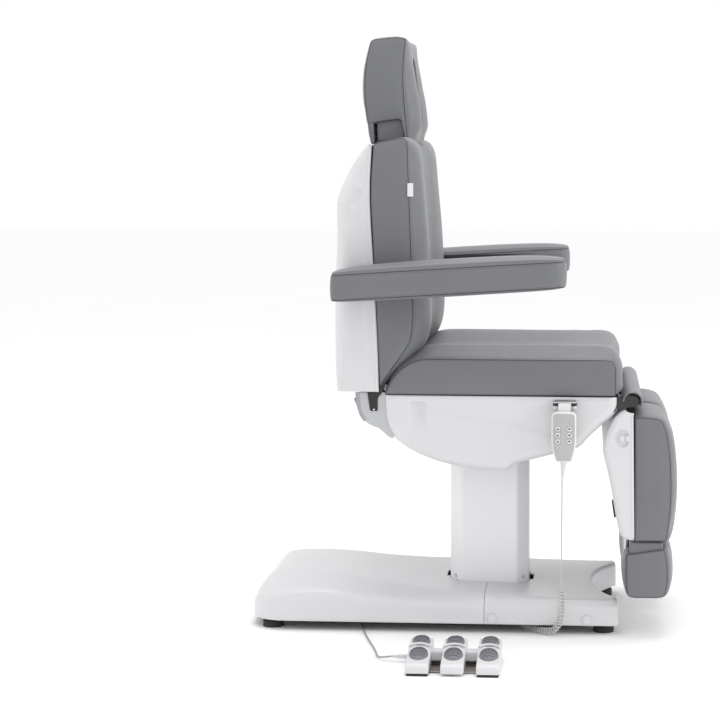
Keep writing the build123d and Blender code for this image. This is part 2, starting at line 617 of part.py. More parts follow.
# ---- handset -------------------------------------------------------------------------------------
def handset_bracket():
    """Bent strip on the shell's side with two clamp screws, and the hook that the handset hangs on."""
    strip = block((178, 238), (-303, -300), (600, 624)) + block((178, 238), (-330, -300), (621, 624))
    strip += block((192, 224), (-331.5, -328.5), (604, 624))
    for x in (185.0, 231.0):
        strip += rod((x, -306, 612), (x, -303, 612), 5)
    return strip


def handset_body():
    outline = [(173.5, 522), (189, 470), (222, 470), (238, 522), (238, 599), (173.5, 599)]
    body = prism(outline, HANDSET_FACE, HANDSET_BACK, "y", radius=7)
    relief = Solid.make_cone(9, 3.2, 48, Plane(origin=(205, -343.5, 470), z_dir=(-0.07, 0, -1)))
    hook = block((194, 222), (-338, -333), (590, 612)) + block((194, 222), (-335, -332), (604, 618))
    body += relief + hook
    for x in BUTTON_COLUMNS:
        for z in BUTTON_ROWS:
            body -= pin(x, z, HANDSET_FACE - 1, HANDSET_FACE + 4, BUTTON_RADIUS + 0.3)
    return body


def handset_button(x, z):
    return pin(x, z, HANDSET_FACE - 1.2, HANDSET_FACE + 3, BUTTON_RADIUS)


# ---- foot control ----------------------------------------------------------------------------------
def ellipse_post(x, pedal, grow, low, high):
    y, half_x, half_y, _ = pedal
    return Pos(x, y, low) * extrude(Ellipse(half_x + grow, half_y + grow), high - low)


def foot_module(x):
    """Wedge-shaped housing with two pockets for the pedals."""
    outline = [(FOOT_CONTROL_FRONT, 5.5), (MODULE_REAR, 5.5), (MODULE_REAR, 46), (-508, 56), (-560, 58),
               (-572, 53), (-650, 24), (FOOT_CONTROL_FRONT, 19)]
    housing = prism(outline, x - MODULE_HALF, x + MODULE_HALF, "x")
    for pedal in (FRONT_PEDAL, REAR_PEDAL):
        housing -= ellipse_post(x, pedal, 1.0, pedal[3] - 8, 80)
    return housing


def foot_control_housings():
    """Three housings, the bars between them and the first one's strain relief."""
    pieces = [foot_module(x) for x in MODULE_CENTRES]
    for left, right in zip(MODULE_CENTRES, MODULE_CENTRES[1:]):
        pieces.append(block((left + MODULE_HALF, right - MODULE_HALF), (-580, -548), (12, 39)))
    boot = Solid.make_cone(5.5, 3.2, 45, Plane(origin=(MODULE_CENTRES[0] - MODULE_HALF, -541, 14), z_dir=(-1, 0, 0)))
    pieces[0] += boot
    return pieces


def pedal(x, place):
    """One pad; the front one slopes with the housing."""
    post = ellipse_post(x, place, 0.0, place[3], 70)
    if place is FRONT_PEDAL:
        top = [(-640, 0), (-560, 0), (-560, 66), (-640, 37)]
    else:
        top = [(-560, 0), (-500, 0), (-500, 60), (-512, 66), (-550, 68), (-560, 66)]
    return post & prism(top, x - 40, x + 40, "x")


# ---- build -----------------------------------------------------------------------------------------
rear_cover, front_cover = base_covers()
save("base_frame", base_frame())
save("base_rear_cover", rear_cover)
save("base_front_cover", front_cover)
save("cover_plugs", *cover_plugs())
save("rubber_feet", *rubber_feet())
save("base_fasteners", *base_fasteners())
save("control_box", control_box())
save("column_outer_tube", column_tube(0.0, COLUMN_FOOT, OUTER_TOP))
save("lift_actuator_body", lift_actuator_body())
save("column_inner_tube", column_tube(COLUMN_WALL + COLUMN_GAP, INNER_BOTTOM, HEAD_BOTTOM))
save("lift_head", lift_head())
save("seat_frame", seat_frame())
save("seat_shell", seat_shell())
save("seat_rear_cover", seat_rear_cover())
save("seat_cushion", seat_cushion())
save("knee_cover", *knee_cover().solids())
save("tilt_actuator_body", tilt_actuator_body())
save("tilt_actuator_rod", tilt_actuator_rod())
save("backrest_actuator_body", backrest_actuator_body())
save("backrest_actuator_rod", backrest_actuator_rod())
save("backrest_frame", backrest_frame())
save("backrest_shell", backrest_shell())
save("backrest_cushion", backrest_cushion())
save("headrest_cushion", headrest_cushion())
save("armrest_link_rods", *armrest_link_rods().solids())
save("handset_bracket", handset_bracket())
save("handset_body", handset_body())
save("foot_control_plate", block((-143, 28.5), (-636, -552), (3, 5.5)))
save("foot_control_housings", *foot_control_housings())
save("foot_cord", tube_along(FOOT_CORD, FOOT_CORD_D, "foot cord"))
save("hand_cord_lead", tube_along(HAND_LEAD, HAND_CORD_D, "hand cord, straight lead"))
save("hand_cord_curl", tube_along(HAND_CURL, CURL_D, "hand cord, curly part"))

RIGHT_SIDE_PARTS = {
    "armrest_pad": [armrest_pad()],
    "armrest_bracket": [armrest_bracket()],
    "leg_frame": [leg_frame()],
    "leg_shell": [leg_shell()],
    "leg_cushion": [leg_cushion()],
    "release_lever": [release_lever()],
    "footpad_cushion": [footpad_cushion()],
    "footpad_rods": footpad_rods(),
}
for name, solids in RIGHT_SIDE_PARTS.items():
    save(f"{name}_right", *solids)
    save(f"{name}_left", *[mirrored(solid) for solid in solids])

for function, z, x in zip(FUNCTIONS, BUTTON_ROWS, MODULE_CENTRES):
    for direction, column, place in zip(("up", "down"), BUTTON_COLUMNS, (REAR_PEDAL, FRONT_PEDAL)):
        save(f"button_{function}_{direction}", handset_button(column, z))
        save(f"pedal_{function}_{direction}", pedal(x, place))
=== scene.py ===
import json
import math

import bmesh
import bpy
import numpy as np
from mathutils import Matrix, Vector
from mathutils.geometry import delaunay_2d_cdt

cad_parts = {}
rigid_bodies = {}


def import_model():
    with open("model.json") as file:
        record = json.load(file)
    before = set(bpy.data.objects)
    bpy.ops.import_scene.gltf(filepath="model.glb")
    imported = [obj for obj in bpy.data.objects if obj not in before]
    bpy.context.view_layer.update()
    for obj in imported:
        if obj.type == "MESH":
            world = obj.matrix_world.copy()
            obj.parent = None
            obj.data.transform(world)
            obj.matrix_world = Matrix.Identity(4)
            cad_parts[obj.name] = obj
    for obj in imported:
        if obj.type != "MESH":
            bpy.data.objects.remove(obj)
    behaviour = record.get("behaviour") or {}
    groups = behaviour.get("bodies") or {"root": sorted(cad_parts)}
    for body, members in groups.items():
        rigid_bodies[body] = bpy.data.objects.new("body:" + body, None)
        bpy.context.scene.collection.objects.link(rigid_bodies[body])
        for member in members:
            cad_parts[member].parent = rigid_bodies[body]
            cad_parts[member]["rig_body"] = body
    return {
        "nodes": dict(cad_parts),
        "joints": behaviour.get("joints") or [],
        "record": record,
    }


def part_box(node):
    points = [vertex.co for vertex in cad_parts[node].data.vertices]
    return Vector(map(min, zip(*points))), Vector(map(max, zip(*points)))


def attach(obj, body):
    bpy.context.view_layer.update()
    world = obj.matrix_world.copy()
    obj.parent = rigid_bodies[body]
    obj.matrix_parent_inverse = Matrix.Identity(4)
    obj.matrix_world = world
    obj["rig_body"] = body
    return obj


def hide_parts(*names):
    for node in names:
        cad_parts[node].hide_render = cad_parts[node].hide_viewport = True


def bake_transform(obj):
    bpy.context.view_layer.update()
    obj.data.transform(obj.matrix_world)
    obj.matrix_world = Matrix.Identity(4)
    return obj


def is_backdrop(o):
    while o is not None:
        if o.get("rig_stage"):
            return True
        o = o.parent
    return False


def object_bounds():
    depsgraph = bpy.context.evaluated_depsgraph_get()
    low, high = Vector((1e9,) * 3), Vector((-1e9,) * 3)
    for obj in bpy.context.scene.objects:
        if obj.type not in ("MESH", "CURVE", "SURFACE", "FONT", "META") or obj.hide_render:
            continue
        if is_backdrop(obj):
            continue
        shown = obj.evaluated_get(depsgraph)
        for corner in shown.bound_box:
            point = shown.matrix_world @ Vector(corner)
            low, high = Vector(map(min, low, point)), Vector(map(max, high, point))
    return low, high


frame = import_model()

cad_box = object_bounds()

# Facial treatment bed. Outlines are in millimetres from the column's axis: +X to the foot end,
# +Y to the bed's left side, +Z up from the floor. metres() turns them into the shared frame.
COLUMN_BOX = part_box("column_outer_tube")
ORIGIN = np.array([(COLUMN_BOX[0].x + COLUMN_BOX[1].x) / 2, (COLUMN_BOX[0].y + COLUMN_BOX[1].y) / 2, 0.0])
BOTH_SIDES = (("right", -1), ("left", 1))


def metres(points):
    return np.asarray(points, float) / 1000 + ORIGIN


def millimetres(places):
    return (np.array(places) - ORIGIN) * 1000


def node_box(name):
    """A CAD node's lowest and highest corners, in millimetres from the column's axis."""
    return [millimetres(corner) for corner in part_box(name)]


def pivot(joint):
    """Where a joint's axis passes, in millimetres from the column's axis."""
    found = next(j for j in frame["joints"] if j["name"] == joint)
    return millimetres(found["pos_m"])


# ---- materials -------------------------------------------------------------------------------
class Paint:
    """A Principled material and short ways to add procedural detail to it."""

    def __init__(self, name, colour, roughness, **sockets):
        self.material = bpy.data.materials.new(name)
        self.material.use_nodes = True
        self.tree = self.material.node_tree
        self.shader = self.tree.nodes["Principled BSDF"]
        self.shader.inputs["Roughness"].default_value = roughness
        for socket, value in sockets.items():
            self.shader.inputs[socket.replace("_", " ")].default_value = value
        self.colour = (*colour, 1.0)
        self.shader.inputs["Base Color"].default_value = self.colour
        self.material.diffuse_color = self.colour
        self.place = self.tree.nodes.new("ShaderNodeTexCoord").outputs["Object"]
        self.height = None

    def node(self, kind, **values):
        made = self.tree.nodes.new(kind)
        for name, value in values.items():
            if name in made.inputs:
                made.inputs[name].default_value = value
            else:
                setattr(made, name, value)
        return made

    def link(self, source, target):
        self.tree.links.new(source, target)

    def noise(self, scale, detail=3.0):
        made = self.node("ShaderNodeTexNoise", Scale=scale, Detail=detail, Roughness=0.5)
        self.link(self.place, made.inputs["Vector"])
        return made.outputs["Fac"]

    def cells(self, scale):
        made = self.node("ShaderNodeTexVoronoi", Scale=scale, feature="F1")
        self.link(self.place, made.inputs["Vector"])
        return made.outputs["Distance"]

    def ramp(self, source, stops):
        made = self.node("ShaderNodeValToRGB")
        while len(made.color_ramp.elements) < len(stops):
            made.color_ramp.elements.new(0.5)
        for element, (position, colour) in zip(made.color_ramp.elements, stops):
            element.position = position
            element.color = (*colour, 1.0)
        self.link(source, made.inputs["Fac"])
        return made.outputs["Color"]

    def vary_colour(self, source, amount):
        """The base colour goes a little darker and lighter with a texture."""
        base = self.colour[:3]
        dark = [c * (1 - amount) for c in base]
        light = [min(1.0, c * (1 + amount)) for c in base]
        self.link(self.ramp(source, [(0.35, dark), (0.65, light)]), self.shader.inputs["Base Color"])

    def wear(self, scale, amount, colour_scale=9.0):
        """Edges a touch lighter than the rest, with the cloudy variation of a used surface."""
        base = self.colour[:3]
        geometry = self.node("ShaderNodeNewGeometry")
        cloud = self.ramp(self.noise(colour_scale), [(0.3, [c * (1 - amount) for c in base]), (0.7, base)])
        edge = self.node("ShaderNodeMapRange", **{"From Min": 0.5, "From Max": 0.62, "To Max": scale})
        self.link(geometry.outputs["Pointiness"], edge.inputs["Value"])
        mix = self.node("ShaderNodeMix", data_type="RGBA")
        colours = [socket for socket in mix.inputs if socket.type == "RGBA"]
        colours[1].default_value = (*[min(1.0, c * 1.35 + 0.03) for c in base], 1.0)
        self.link(edge.outputs["Result"], mix.inputs["Factor"])
        self.link(cloud, colours[0])
        result = [socket for socket in mix.outputs if socket.type == "RGBA"][0]
        self.link(result, self.shader.inputs["Base Color"])

    def vary_roughness(self, source, low, high):
        made = self.node("ShaderNodeMapRange", **{"To Min": low, "To Max": high})
        self.link(source, made.inputs["Value"])
        self.link(made.outputs["Result"], self.shader.inputs["Roughness"])

    def bump(self, source, depth, strength=1.0):
        """Adds one layer of relief; layers follow each other."""
        made = self.node("ShaderNodeBump", Distance=depth, Strength=strength)
        self.link(source, made.inputs["Height"])
        if self.height is not None:
            self.link(self.height, made.inputs["Normal"])
        self.height = made.outputs["Normal"]
        self.link(self.height, self.shader.inputs["Normal"])


def leatherette(name, colour, roughness=0.46):
    """Coated upholstery: fine pebble grain, soft creases and slightly polished high spots."""
    paint = Paint(name, colour, roughness, Sheen_Weight=0.12, Sheen_Roughness=0.4, Specular_IOR_Level=0.42)
    paint.wear(0.16, 0.05, 7.0)
    paint.vary_roughness(paint.noise(60.0, 5.0), roughness - 0.08, roughness + 0.1)
    paint.bump(paint.noise(14.0, 3.0), 0.0012, 0.25)
    paint.bump(paint.cells(780.0), 0.00012, 0.5)
    paint.bump(paint.noise(1900.0, 2.0), 0.00005, 0.5)
    return paint.material


def moulded(name, colour, roughness, texture=240.0, coat=0.0):
    """Moulded or lacquered plastic: faint orange peel, haze and lighter rubbed edges."""
    paint = Paint(name, colour, roughness, Coat_Weight=coat, Coat_Roughness=0.12)
    paint.wear(0.10, 0.025, 3.5)
    paint.vary_roughness(paint.noise(25.0, 4.0), roughness - 0.06, roughness + 0.09)
    paint.bump(paint.noise(texture, 2.0), 0.00006, 0.35)
    return paint.material


def speckled(name, colour, roughness):
    """Spark-eroded plastic or rubber with a fine matt grain."""
    paint = Paint(name, colour, roughness)
    paint.wear(0.2, 0.08, 12.0)
    paint.vary_roughness(paint.noise(300.0, 3.0), roughness - 0.08, roughness + 0.08)
    paint.bump(paint.cells(1400.0), 0.0001, 0.6)
    return paint.material


def metal(name, colour, roughness, brushed=600.0):
    paint = Paint(name, colour, roughness, Metallic=1.0)
    paint.vary_colour(paint.noise(30.0, 4.0), 0.07)
    paint.vary_roughness(paint.noise(brushed, 2.0), roughness - 0.06, roughness + 0.12)
    paint.bump(paint.noise(brushed, 2.0), 0.00003, 0.4)
    return paint.material


UPHOLSTERY = leatherette("grey_leatherette", (0.158, 0.161, 0.173))
THREAD = speckled("seam_thread", (0.035, 0.036, 0.04), 0.6)
# Near-black colour of the seam tubes: painted shadow of the seam grooves.
SEAM_SHADOW = speckled("seam_painted_shadow", (0.035, 0.036, 0.04), 0.6)
WHITE = moulded("white_satin_plastic", (0.63, 0.63, 0.645), 0.32, coat=0.15)
# Column white, painted lighter than the covers' white to make up for the seat's shadow on the column.
WHITE_TUBE_LIGHTENED = moulded("column_lacquer_painted_light", (0.80, 0.80, 0.82), 0.34, texture=420.0, coat=0.2)
LIGHT_GREY = moulded("light_grey_plastic", (0.46, 0.465, 0.48), 0.4)
HANDSET_WHITE = moulded("handset_plastic", (0.70, 0.70, 0.69), 0.36)
HANDSET_FACE = speckled("handset_face", (0.43, 0.43, 0.425), 0.5)
BUTTON_WHITE = moulded("button_plastic", (0.74, 0.74, 0.74), 0.35)
PEDAL_GREY = speckled("pedal_rubber", (0.205, 0.207, 0.235), 0.62)
# Near-black colour of the pedal ribs and border line: painted shade of the grip grooves.
PEDAL_GROOVE_SHADE = speckled("pedal_groove_painted_shade", (0.075, 0.076, 0.085), 0.65)
RUBBER = speckled("black_rubber", (0.012, 0.012, 0.013), 0.7)
DARK = speckled("black_plastic", (0.018, 0.018, 0.019), 0.55)
STEEL = moulded("black_painted_steel", (0.022, 0.022, 0.024), 0.42, texture=500.0)
ZINC = metal("zinc_plate", (0.62, 0.62, 0.64), 0.3)
TAUPE = metal("taupe_plate", (0.42, 0.38, 0.35), 0.42)
GALVANISED = metal("actuator_metal", (0.36, 0.37, 0.39), 0.38)
CORD_GREY = speckled("cord_sheath", (0.50, 0.49, 0.475), 0.5)
FOOT_CORD_GREY = speckled("foot_cord_sheath", (0.33, 0.30, 0.29), 0.5)
LABEL = speckled("woven_tag", (0.78, 0.78, 0.78), 0.7)

NODE_MATERIALS = {
    "black_steel": STEEL, "white_cover": WHITE, "grey_cover": LIGHT_GREY, "rubber": RUBBER,
    "zinc_screw": ZINC, "dark_plastic": DARK, "column_paint": WHITE_TUBE_LIGHTENED, "actuator": DARK,
    "actuator_rod": GALVANISED, "upholstery": UPHOLSTERY, "handset_white": HANDSET_WHITE,
    "button_white": BUTTON_WHITE, "pedal_grey": PEDAL_GREY, "plate_metal": TAUPE, "cord": CORD_GREY,
}


def paint_cad_nodes():
    """Every CAD node takes the finish of its record slot; what isn't replaced shows it."""
    for row in frame["record"]["subparts"]:
        slots = frame["nodes"][row["node"]].data.materials
        slots.clear()
        slots.append(NODE_MATERIALS[row["material_slot"]])


# ---- lines -----------------------------------------------------------------------------------
def rounded(points, radius, closed=True):
    """A line through the points with each corner rounded by about that radius."""
    corners = [np.array(p, float) for p in points]
    radii = radius if hasattr(radius, "__len__") else [radius] * len(corners)
    line = []
    for index, corner in enumerate(corners):
        if not closed and index in (0, len(corners) - 1):
            line.append(corner)
            continue
        before, after = corners[index - 1] - corner, corners[(index + 1) % len(corners)] - corner
        cut = min(radii[index], 0.48 * np.linalg.norm(before), 0.48 * np.linalg.norm(after))
        start = corner + before / np.linalg.norm(before) * cut
        end = corner + after / np.linalg.norm(after) * cut
        for t in np.linspace(0, 1, 9):
            line.append((1 - t) ** 2 * start + 2 * t * (1 - t) * corner + t * t * end)
    return np.array(line)


def distances(line):
    return np.concatenate([[0], np.cumsum(np.linalg.norm(np.diff(line, axis=0), axis=1))])


def take(line, at):
    """Points of a line at the given distances along it."""
    along = distances(line)
    return np.column_stack([np.interp(at, along, line[:, k]) for k in range(line.shape[1])])


def even(line, count):
    return take(line, np.linspace(0, distances(line)[-1], count))


def even_loop(line, count):
    return even(np.vstack([line, line[:1]]), count + 1)[:-1]


def outward(line, closed=True):
    """Unit normals on the right of a line's direction, so outward of an anticlockwise loop."""
    if closed:
        along = np.roll(line, -1, axis=0) - np.roll(line, 1, axis=0)
    else:
        along = np.gradient(line, axis=0)
    normals = np.column_stack([along[:, 1], -along[:, 0]])
    return normals / np.maximum(np.linalg.norm(normals, axis=1), 1e-9)[:, None]


def through(points, at):
    """A smooth curve through (place, value) points, flat at peaks and at both ends."""
    xs, ys = np.array(points, float).T
    slopes = np.zeros(len(xs))
    steps = np.diff(ys) / np.diff(xs)
    for k in range(1, len(xs) - 1):
        if steps[k - 1] * steps[k] > 0:
            slopes[k] = 2 * steps[k - 1] * steps[k] / (steps[k - 1] + steps[k])
    at = np.clip(at, xs[0], xs[-1])
    k = np.clip(np.searchsorted(xs, at) - 1, 0, len(xs) - 2)
    width = xs[k + 1] - xs[k]
    t = (at - xs[k]) / width
    rise = (2 * t ** 3 - 3 * t ** 2 + 1) * ys[k] + (3 * t ** 2 - 2 * t ** 3) * ys[k + 1]
    return rise + width * ((t ** 3 - 2 * t ** 2 + t) * slopes[k] + (t ** 3 - t ** 2) * slopes[k + 1])


def full_turn(count):
    return np.linspace(0, 2 * math.pi, count, endpoint=False)


def circle_line(a, b, radius_a, radius_b, count=72):
    turns = full_turn(count)
    return np.column_stack([a + radius_a * np.cos(turns), b + radius_b * np.sin(turns)])


def unit(value):
    return np.clip(value, 0, 1)


def bump_at(value, centre, width):
    """1 at the centre, falling smoothly to 0 a width away."""
    t = unit(np.abs(value - centre) / width)
    return (1 - t * t) ** 2


def step_at(value, place, width):
    t = unit((value - place) / width + 0.5)
    return t * t * (3 - 2 * t)


# ---- meshes ----------------------------------------------------------------------------------
def grid_faces(rows, columns, wrap=False):
    faces = []
    for start in range(0, (rows - 1) * columns, columns):
        for c in range(columns if wrap else columns - 1):
            d = (c + 1) % columns
            faces.append((start + c, start + d, start + columns + d, start + columns + c))
    return faces


def capped(rows, count):
    """Faces of a round grid with its first and last ring filled."""
    last = (rows - 1) * count
    return grid_faces(rows, count, wrap=True) + [tuple(range(count)), tuple(range(last, last + count))]


def add_object(name, data):
    made = bpy.data.objects.new(name, data)
    bpy.context.scene.collection.objects.link(made)
    return made


def make_mesh(name, points, faces, material, sharp=38.0, clean=True):
    """One shaded object from points in millimetres; clean merges doubled vertices."""
    mesh = bpy.data.meshes.new(name)
    mesh.from_pydata(metres(points).tolist(), [], faces)
    mesh.materials.append(material)
    made = add_object(name, mesh)
    work = bmesh.new()
    work.from_mesh(mesh)
    if clean:
        bmesh.ops.remove_doubles(work, verts=work.verts, dist=0.00003)
        bmesh.ops.dissolve_degenerate(work, edges=work.edges, dist=0.00002)
    bmesh.ops.recalc_face_normals(work, faces=work.faces)
    work.to_mesh(mesh)
    work.free()
    shade(made, sharp)
    return made


def shade(made, sharp=38.0):
    made.data.shade_smooth()
    made.data.set_sharp_from_angle(angle=math.radians(sharp))


def finish_modifiers(made, sharp=38.0):
    """Applies every modifier on the piece."""
    graph = bpy.context.evaluated_depsgraph_get()
    graph.update()
    mesh = bpy.data.meshes.new_from_object(made.evaluated_get(graph))
    made.modifiers.clear()
    made.data = mesh
    shade(made, sharp)
    return made


def thicken(made, thickness, sharp=38.0):
    """Gives a skin a wall on its inner side."""
    modifier = made.modifiers.new("wall", "SOLIDIFY")
    modifier.thickness = thickness / 1000
    modifier.offset = -1
    modifier.use_even_offset = False
    return finish_modifiers(made, sharp)


def cut_away(made, *cutters, sharp=38.0, solver="EXACT"):
    for cutter in cutters:
        modifier = made.modifiers.new("cut", "BOOLEAN")
        modifier.operation = "DIFFERENCE"
        modifier.solver = solver
        modifier.object = cutter
    finish_modifiers(made, sharp)
    for cutter in cutters:
        bpy.data.objects.remove(cutter)
    return made


def vertices(mesh):
    return np.array([v.co for v in mesh.vertices])


def fix(made, body, slot, *nodes):
    """Puts a piece on its body, in place of the CAD nodes that are named; slot is not used."""
    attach(made, body)
    if nodes:
        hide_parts(*nodes)
    return made


def join(name, pieces):
    """Several meshes made into one piece."""
    work = bmesh.new()
    materials = []
    for piece in pieces:
        offset = len(materials)
        start = len(work.faces)
        materials += list(piece.data.materials)
        work.from_mesh(piece.data)
        work.faces.ensure_lookup_table()
        for face in work.faces[start:]:
            face.material_index += offset
    mesh = bpy.data.meshes.new(name)
    work.to_mesh(mesh)
    work.free()
    for material in materials:
        mesh.materials.append(material)
    made = add_object(name, mesh)
    for piece in pieces:
        bpy.data.objects.remove(piece)
    shade(made)
    return made


# How an outline's two measures and its level along an axis become x, y and z.
AXES = {
    "y": lambda a, b, c: np.column_stack([a, c, b]),
    "z": lambda a, b, c: np.column_stack([a, b, c]),
    "x": lambda a, b, c: np.column_stack([c, a, b]),
}


def slab(name, outline, along, low, high, material, edge=2.0, count=96):
    """An outline pushed along an axis, with rounded rims."""
    loop = even_loop(np.asarray(outline, float), count)
    area = np.sum(loop[:, 0] * np.roll(loop[:, 1], -1) - np.roll(loop[:, 0], -1) * loop[:, 1])
    normals = outward(loop) * (1 if area > 0 else -1)
    rows = []
    for angle in np.linspace(0, math.pi / 2, 5):
        rows.append((edge * (1 - math.sin(angle)), low + edge * (1 - math.cos(angle))))
    for angle in np.linspace(math.pi / 2, 0, 5):
        rows.append((edge * (1 - math.sin(angle)), high - edge * (1 - math.cos(angle))))
    centre = loop.mean(axis=0)
    rings = [(loop - normals * inset, level) for inset, level in rows]
    last = loop - normals * edge
    rings += [(centre + (last - centre) * share, high) for share in (0.8, 0.55, 0.3, 0.12)]
    points = [AXES[along](ring[:, 0], ring[:, 1], np.full(count, level)) for ring, level in rings]
    return make_mesh(name, np.vstack(points), capped(len(points), count), material)


def box_outline(a, b, radius):
    return rounded([(a[0], b[0]), (a[1], b[0]), (a[1], b[1]), (a[0], b[1])], radius)


def any_side(axis):
    """A vector across an axis."""
    return np.cross(axis, (0.0, 0.0, 1.0) if abs(axis[2]) < 0.9 else (1.0, 0.0, 0.0))


def round_bar(name, start, end, radius, material, count=28, edge=0.6):
    """A turned pin or rod with broken edges."""
    start, end = np.array(start, float), np.array(end, float)
    axis = (end - start) / np.linalg.norm(end - start)
    side = any_side(axis)
    side /= np.linalg.norm(side)
    other = np.cross(axis, side)
    turns = full_turn(count)
    ring = np.cos(turns)[:, None] * side + np.sin(turns)[:, None] * other
    levels = [(start, radius - edge), (start + axis * edge, radius), (end - axis * edge, radius),
              (end, radius - edge)]
    points = np.vstack([centre + ring * r for centre, r in levels])
    return make_mesh(name, points, capped(4, count), material)


def frames_along(path):
    """Two unit vectors across a path at each point, carried along it without twisting."""
    ahead = np.gradient(path, axis=0)
    ahead /= np.linalg.norm(ahead, axis=1)[:, None]
    side = any_side(ahead[0])
    sides = []
    for direction in ahead:
        side = side - direction * np.dot(side, direction)
        side /= np.linalg.norm(side)
        sides.append(side)
    sides = np.array(sides)
    return sides, np.cross(ahead, sides)


def tube(name, path, radii, material, count=12):
    """A round mesh tube along points in millimetres, closed at both ends."""
    path = np.asarray(path, float)
    radii = np.broadcast_to(radii, len(path))
    sides, others = frames_along(path)
    turns = full_turn(count)
    rings = [path[k] + radii[k] * (np.cos(turns)[:, None] * sides[k] + np.sin(turns)[:, None] * others[k])
             for k in range(len(path))]
    return make_mesh(name, np.vstack(rings), capped(len(path), count), material, sharp=60)


# ---- cords -----------------------------------------------------------------------------------
HAND_CORD_D = 4.0
CURL_D = 18.0
FOOT_CORD_D = 4.5
FOOT_CORD = [(-217, -541, 14), (-233, -540, 12), (-249, -524, 6), (-259, -496, 2.6), (-268, -450, 2.6),
             (-284, -395, 2.6), (-302, -334, 2.6), (-318, -273, 2.6), (-333, -212, 2.6), (-348, -155, 2.6),
             (-363, -112, 4.5), (-371, -84, 9), (-372, -58.6, 10)]
HAND_LEAD = [(201.6, -343.5, 421.5), (201.2, -341, 372), (199.5, -300, 166), (198, -290, 126)]
HAND_CURL = [(198, -290, 125.5), (199.5, -291, 84), (197, -289, 46), (184, -281, 19), (158, -259, 9.4),
             (128, -228, 9.4), (100, -200, 9.4), (76, -172, 10.5), (68, -136.4, 12)]


def nurbs(name, points):
    """A curve of one NURBS spline with these control points."""
    curve = bpy.data.curves.new(name, "CURVE")
    curve.dimensions = "3D"
    curve.resolution_u = 16
    spline = curve.splines.new("NURBS")
    spline.points.add(len(points) - 1)
    for control, place in zip(spline.points, metres(points)):
        control.co = (*place, 1.0)
    spline.order_u = 3
    spline.use_endpoint_u = True
    return add_object(name, curve)


def centreline(points):
    """The smooth line of a cord, read from its NURBS spline, in millimetres."""
    guide = nurbs("guide", points)
    graph = bpy.context.evaluated_depsgraph_get()
    mesh = bpy.data.meshes.new_from_object(guide.evaluated_get(graph))
    line = millimetres(vertices(mesh))
    bpy.data.objects.remove(guide)
    return line


def helix(line, turns, radius, taper_in, taper_out):
    """A curly cord's path round a centreline: tight turns that open and narrow to its ends."""
    total = distances(line)[-1]
    count = turns * 20
    at = np.linspace(0, 1, count)
    base = take(line, at * total)
    sides, others = frames_along(base)
    size = radius * np.minimum(1, at / taper_in) * np.minimum(1, (1 - at) / taper_out)
    angle = at * turns * 2 * math.pi
    return base + size[:, None] * (np.cos(angle)[:, None] * sides + np.sin(angle)[:, None] * others)


def make_cords():
    foot = nurbs("foot_cord_flex", FOOT_CORD)
    foot.data.bevel_depth = FOOT_CORD_D / 2000
    foot.data.bevel_resolution = 4
    foot.data.use_fill_caps = True
    foot.data.materials.append(FOOT_CORD_GREY)
    fix(foot, "base", "cord", "foot_cord")
    metres(FOOT_CORD[0])
    distances(centreline(FOOT_CORD))[-1] / 1000

    line = even(centreline(HAND_LEAD), 60)
    lead = tube("hand_cord_straight", line, HAND_CORD_D / 2, CORD_GREY)
    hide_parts("hand_cord_lead")
    metres(line[4])
    metres(line[-4])
    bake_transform(lead)
    metres(line[0])
    distances(line)[-1] / 1000
    metres(line)

    coil = helix(centreline(HAND_CURL), turns=34, radius=(CURL_D - HAND_CORD_D) / 2, taper_in=0.02,
                 taper_out=0.3)
    curl = tube("hand_cord_curly", coil, HAND_CORD_D / 2, CORD_GREY, count=8)
    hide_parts("hand_cord_curl")
    metres(HAND_CURL[0])
    metres(HAND_CURL[3])
    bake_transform(curl)
    metres(HAND_CURL[0])
    distances(coil)[-1] / 1000
    metres(coil)


# ---- upholstery ------------------------------------------------------------------------------
SEAM_GROOVE = 1.8
STITCH_PITCH, STITCH_LENGTH, STITCH_RADIUS = 7.0, 4.6, 0.75
SEAM_SHADOW_RADIUS = 1.1
PADS = []


def marks(length, step, close=(4.0, 9.0)):
    """Places along a length: a few close to each end and even steps between."""
    near = [d for d in close if d < 0.3 * length]
    last = near[-1]
    inner = np.linspace(last, length - last, max(2, round((length - 2 * last) / step) + 1))
    return np.concatenate([[0], near[:-1], inner, [length - d for d in near[:-1][::-1]], [length]])


def upright(a, b, c):
    """Side outlines are drawn in x and z, and the pad is as wide as y says."""
    return np.column_stack([a, c, b])


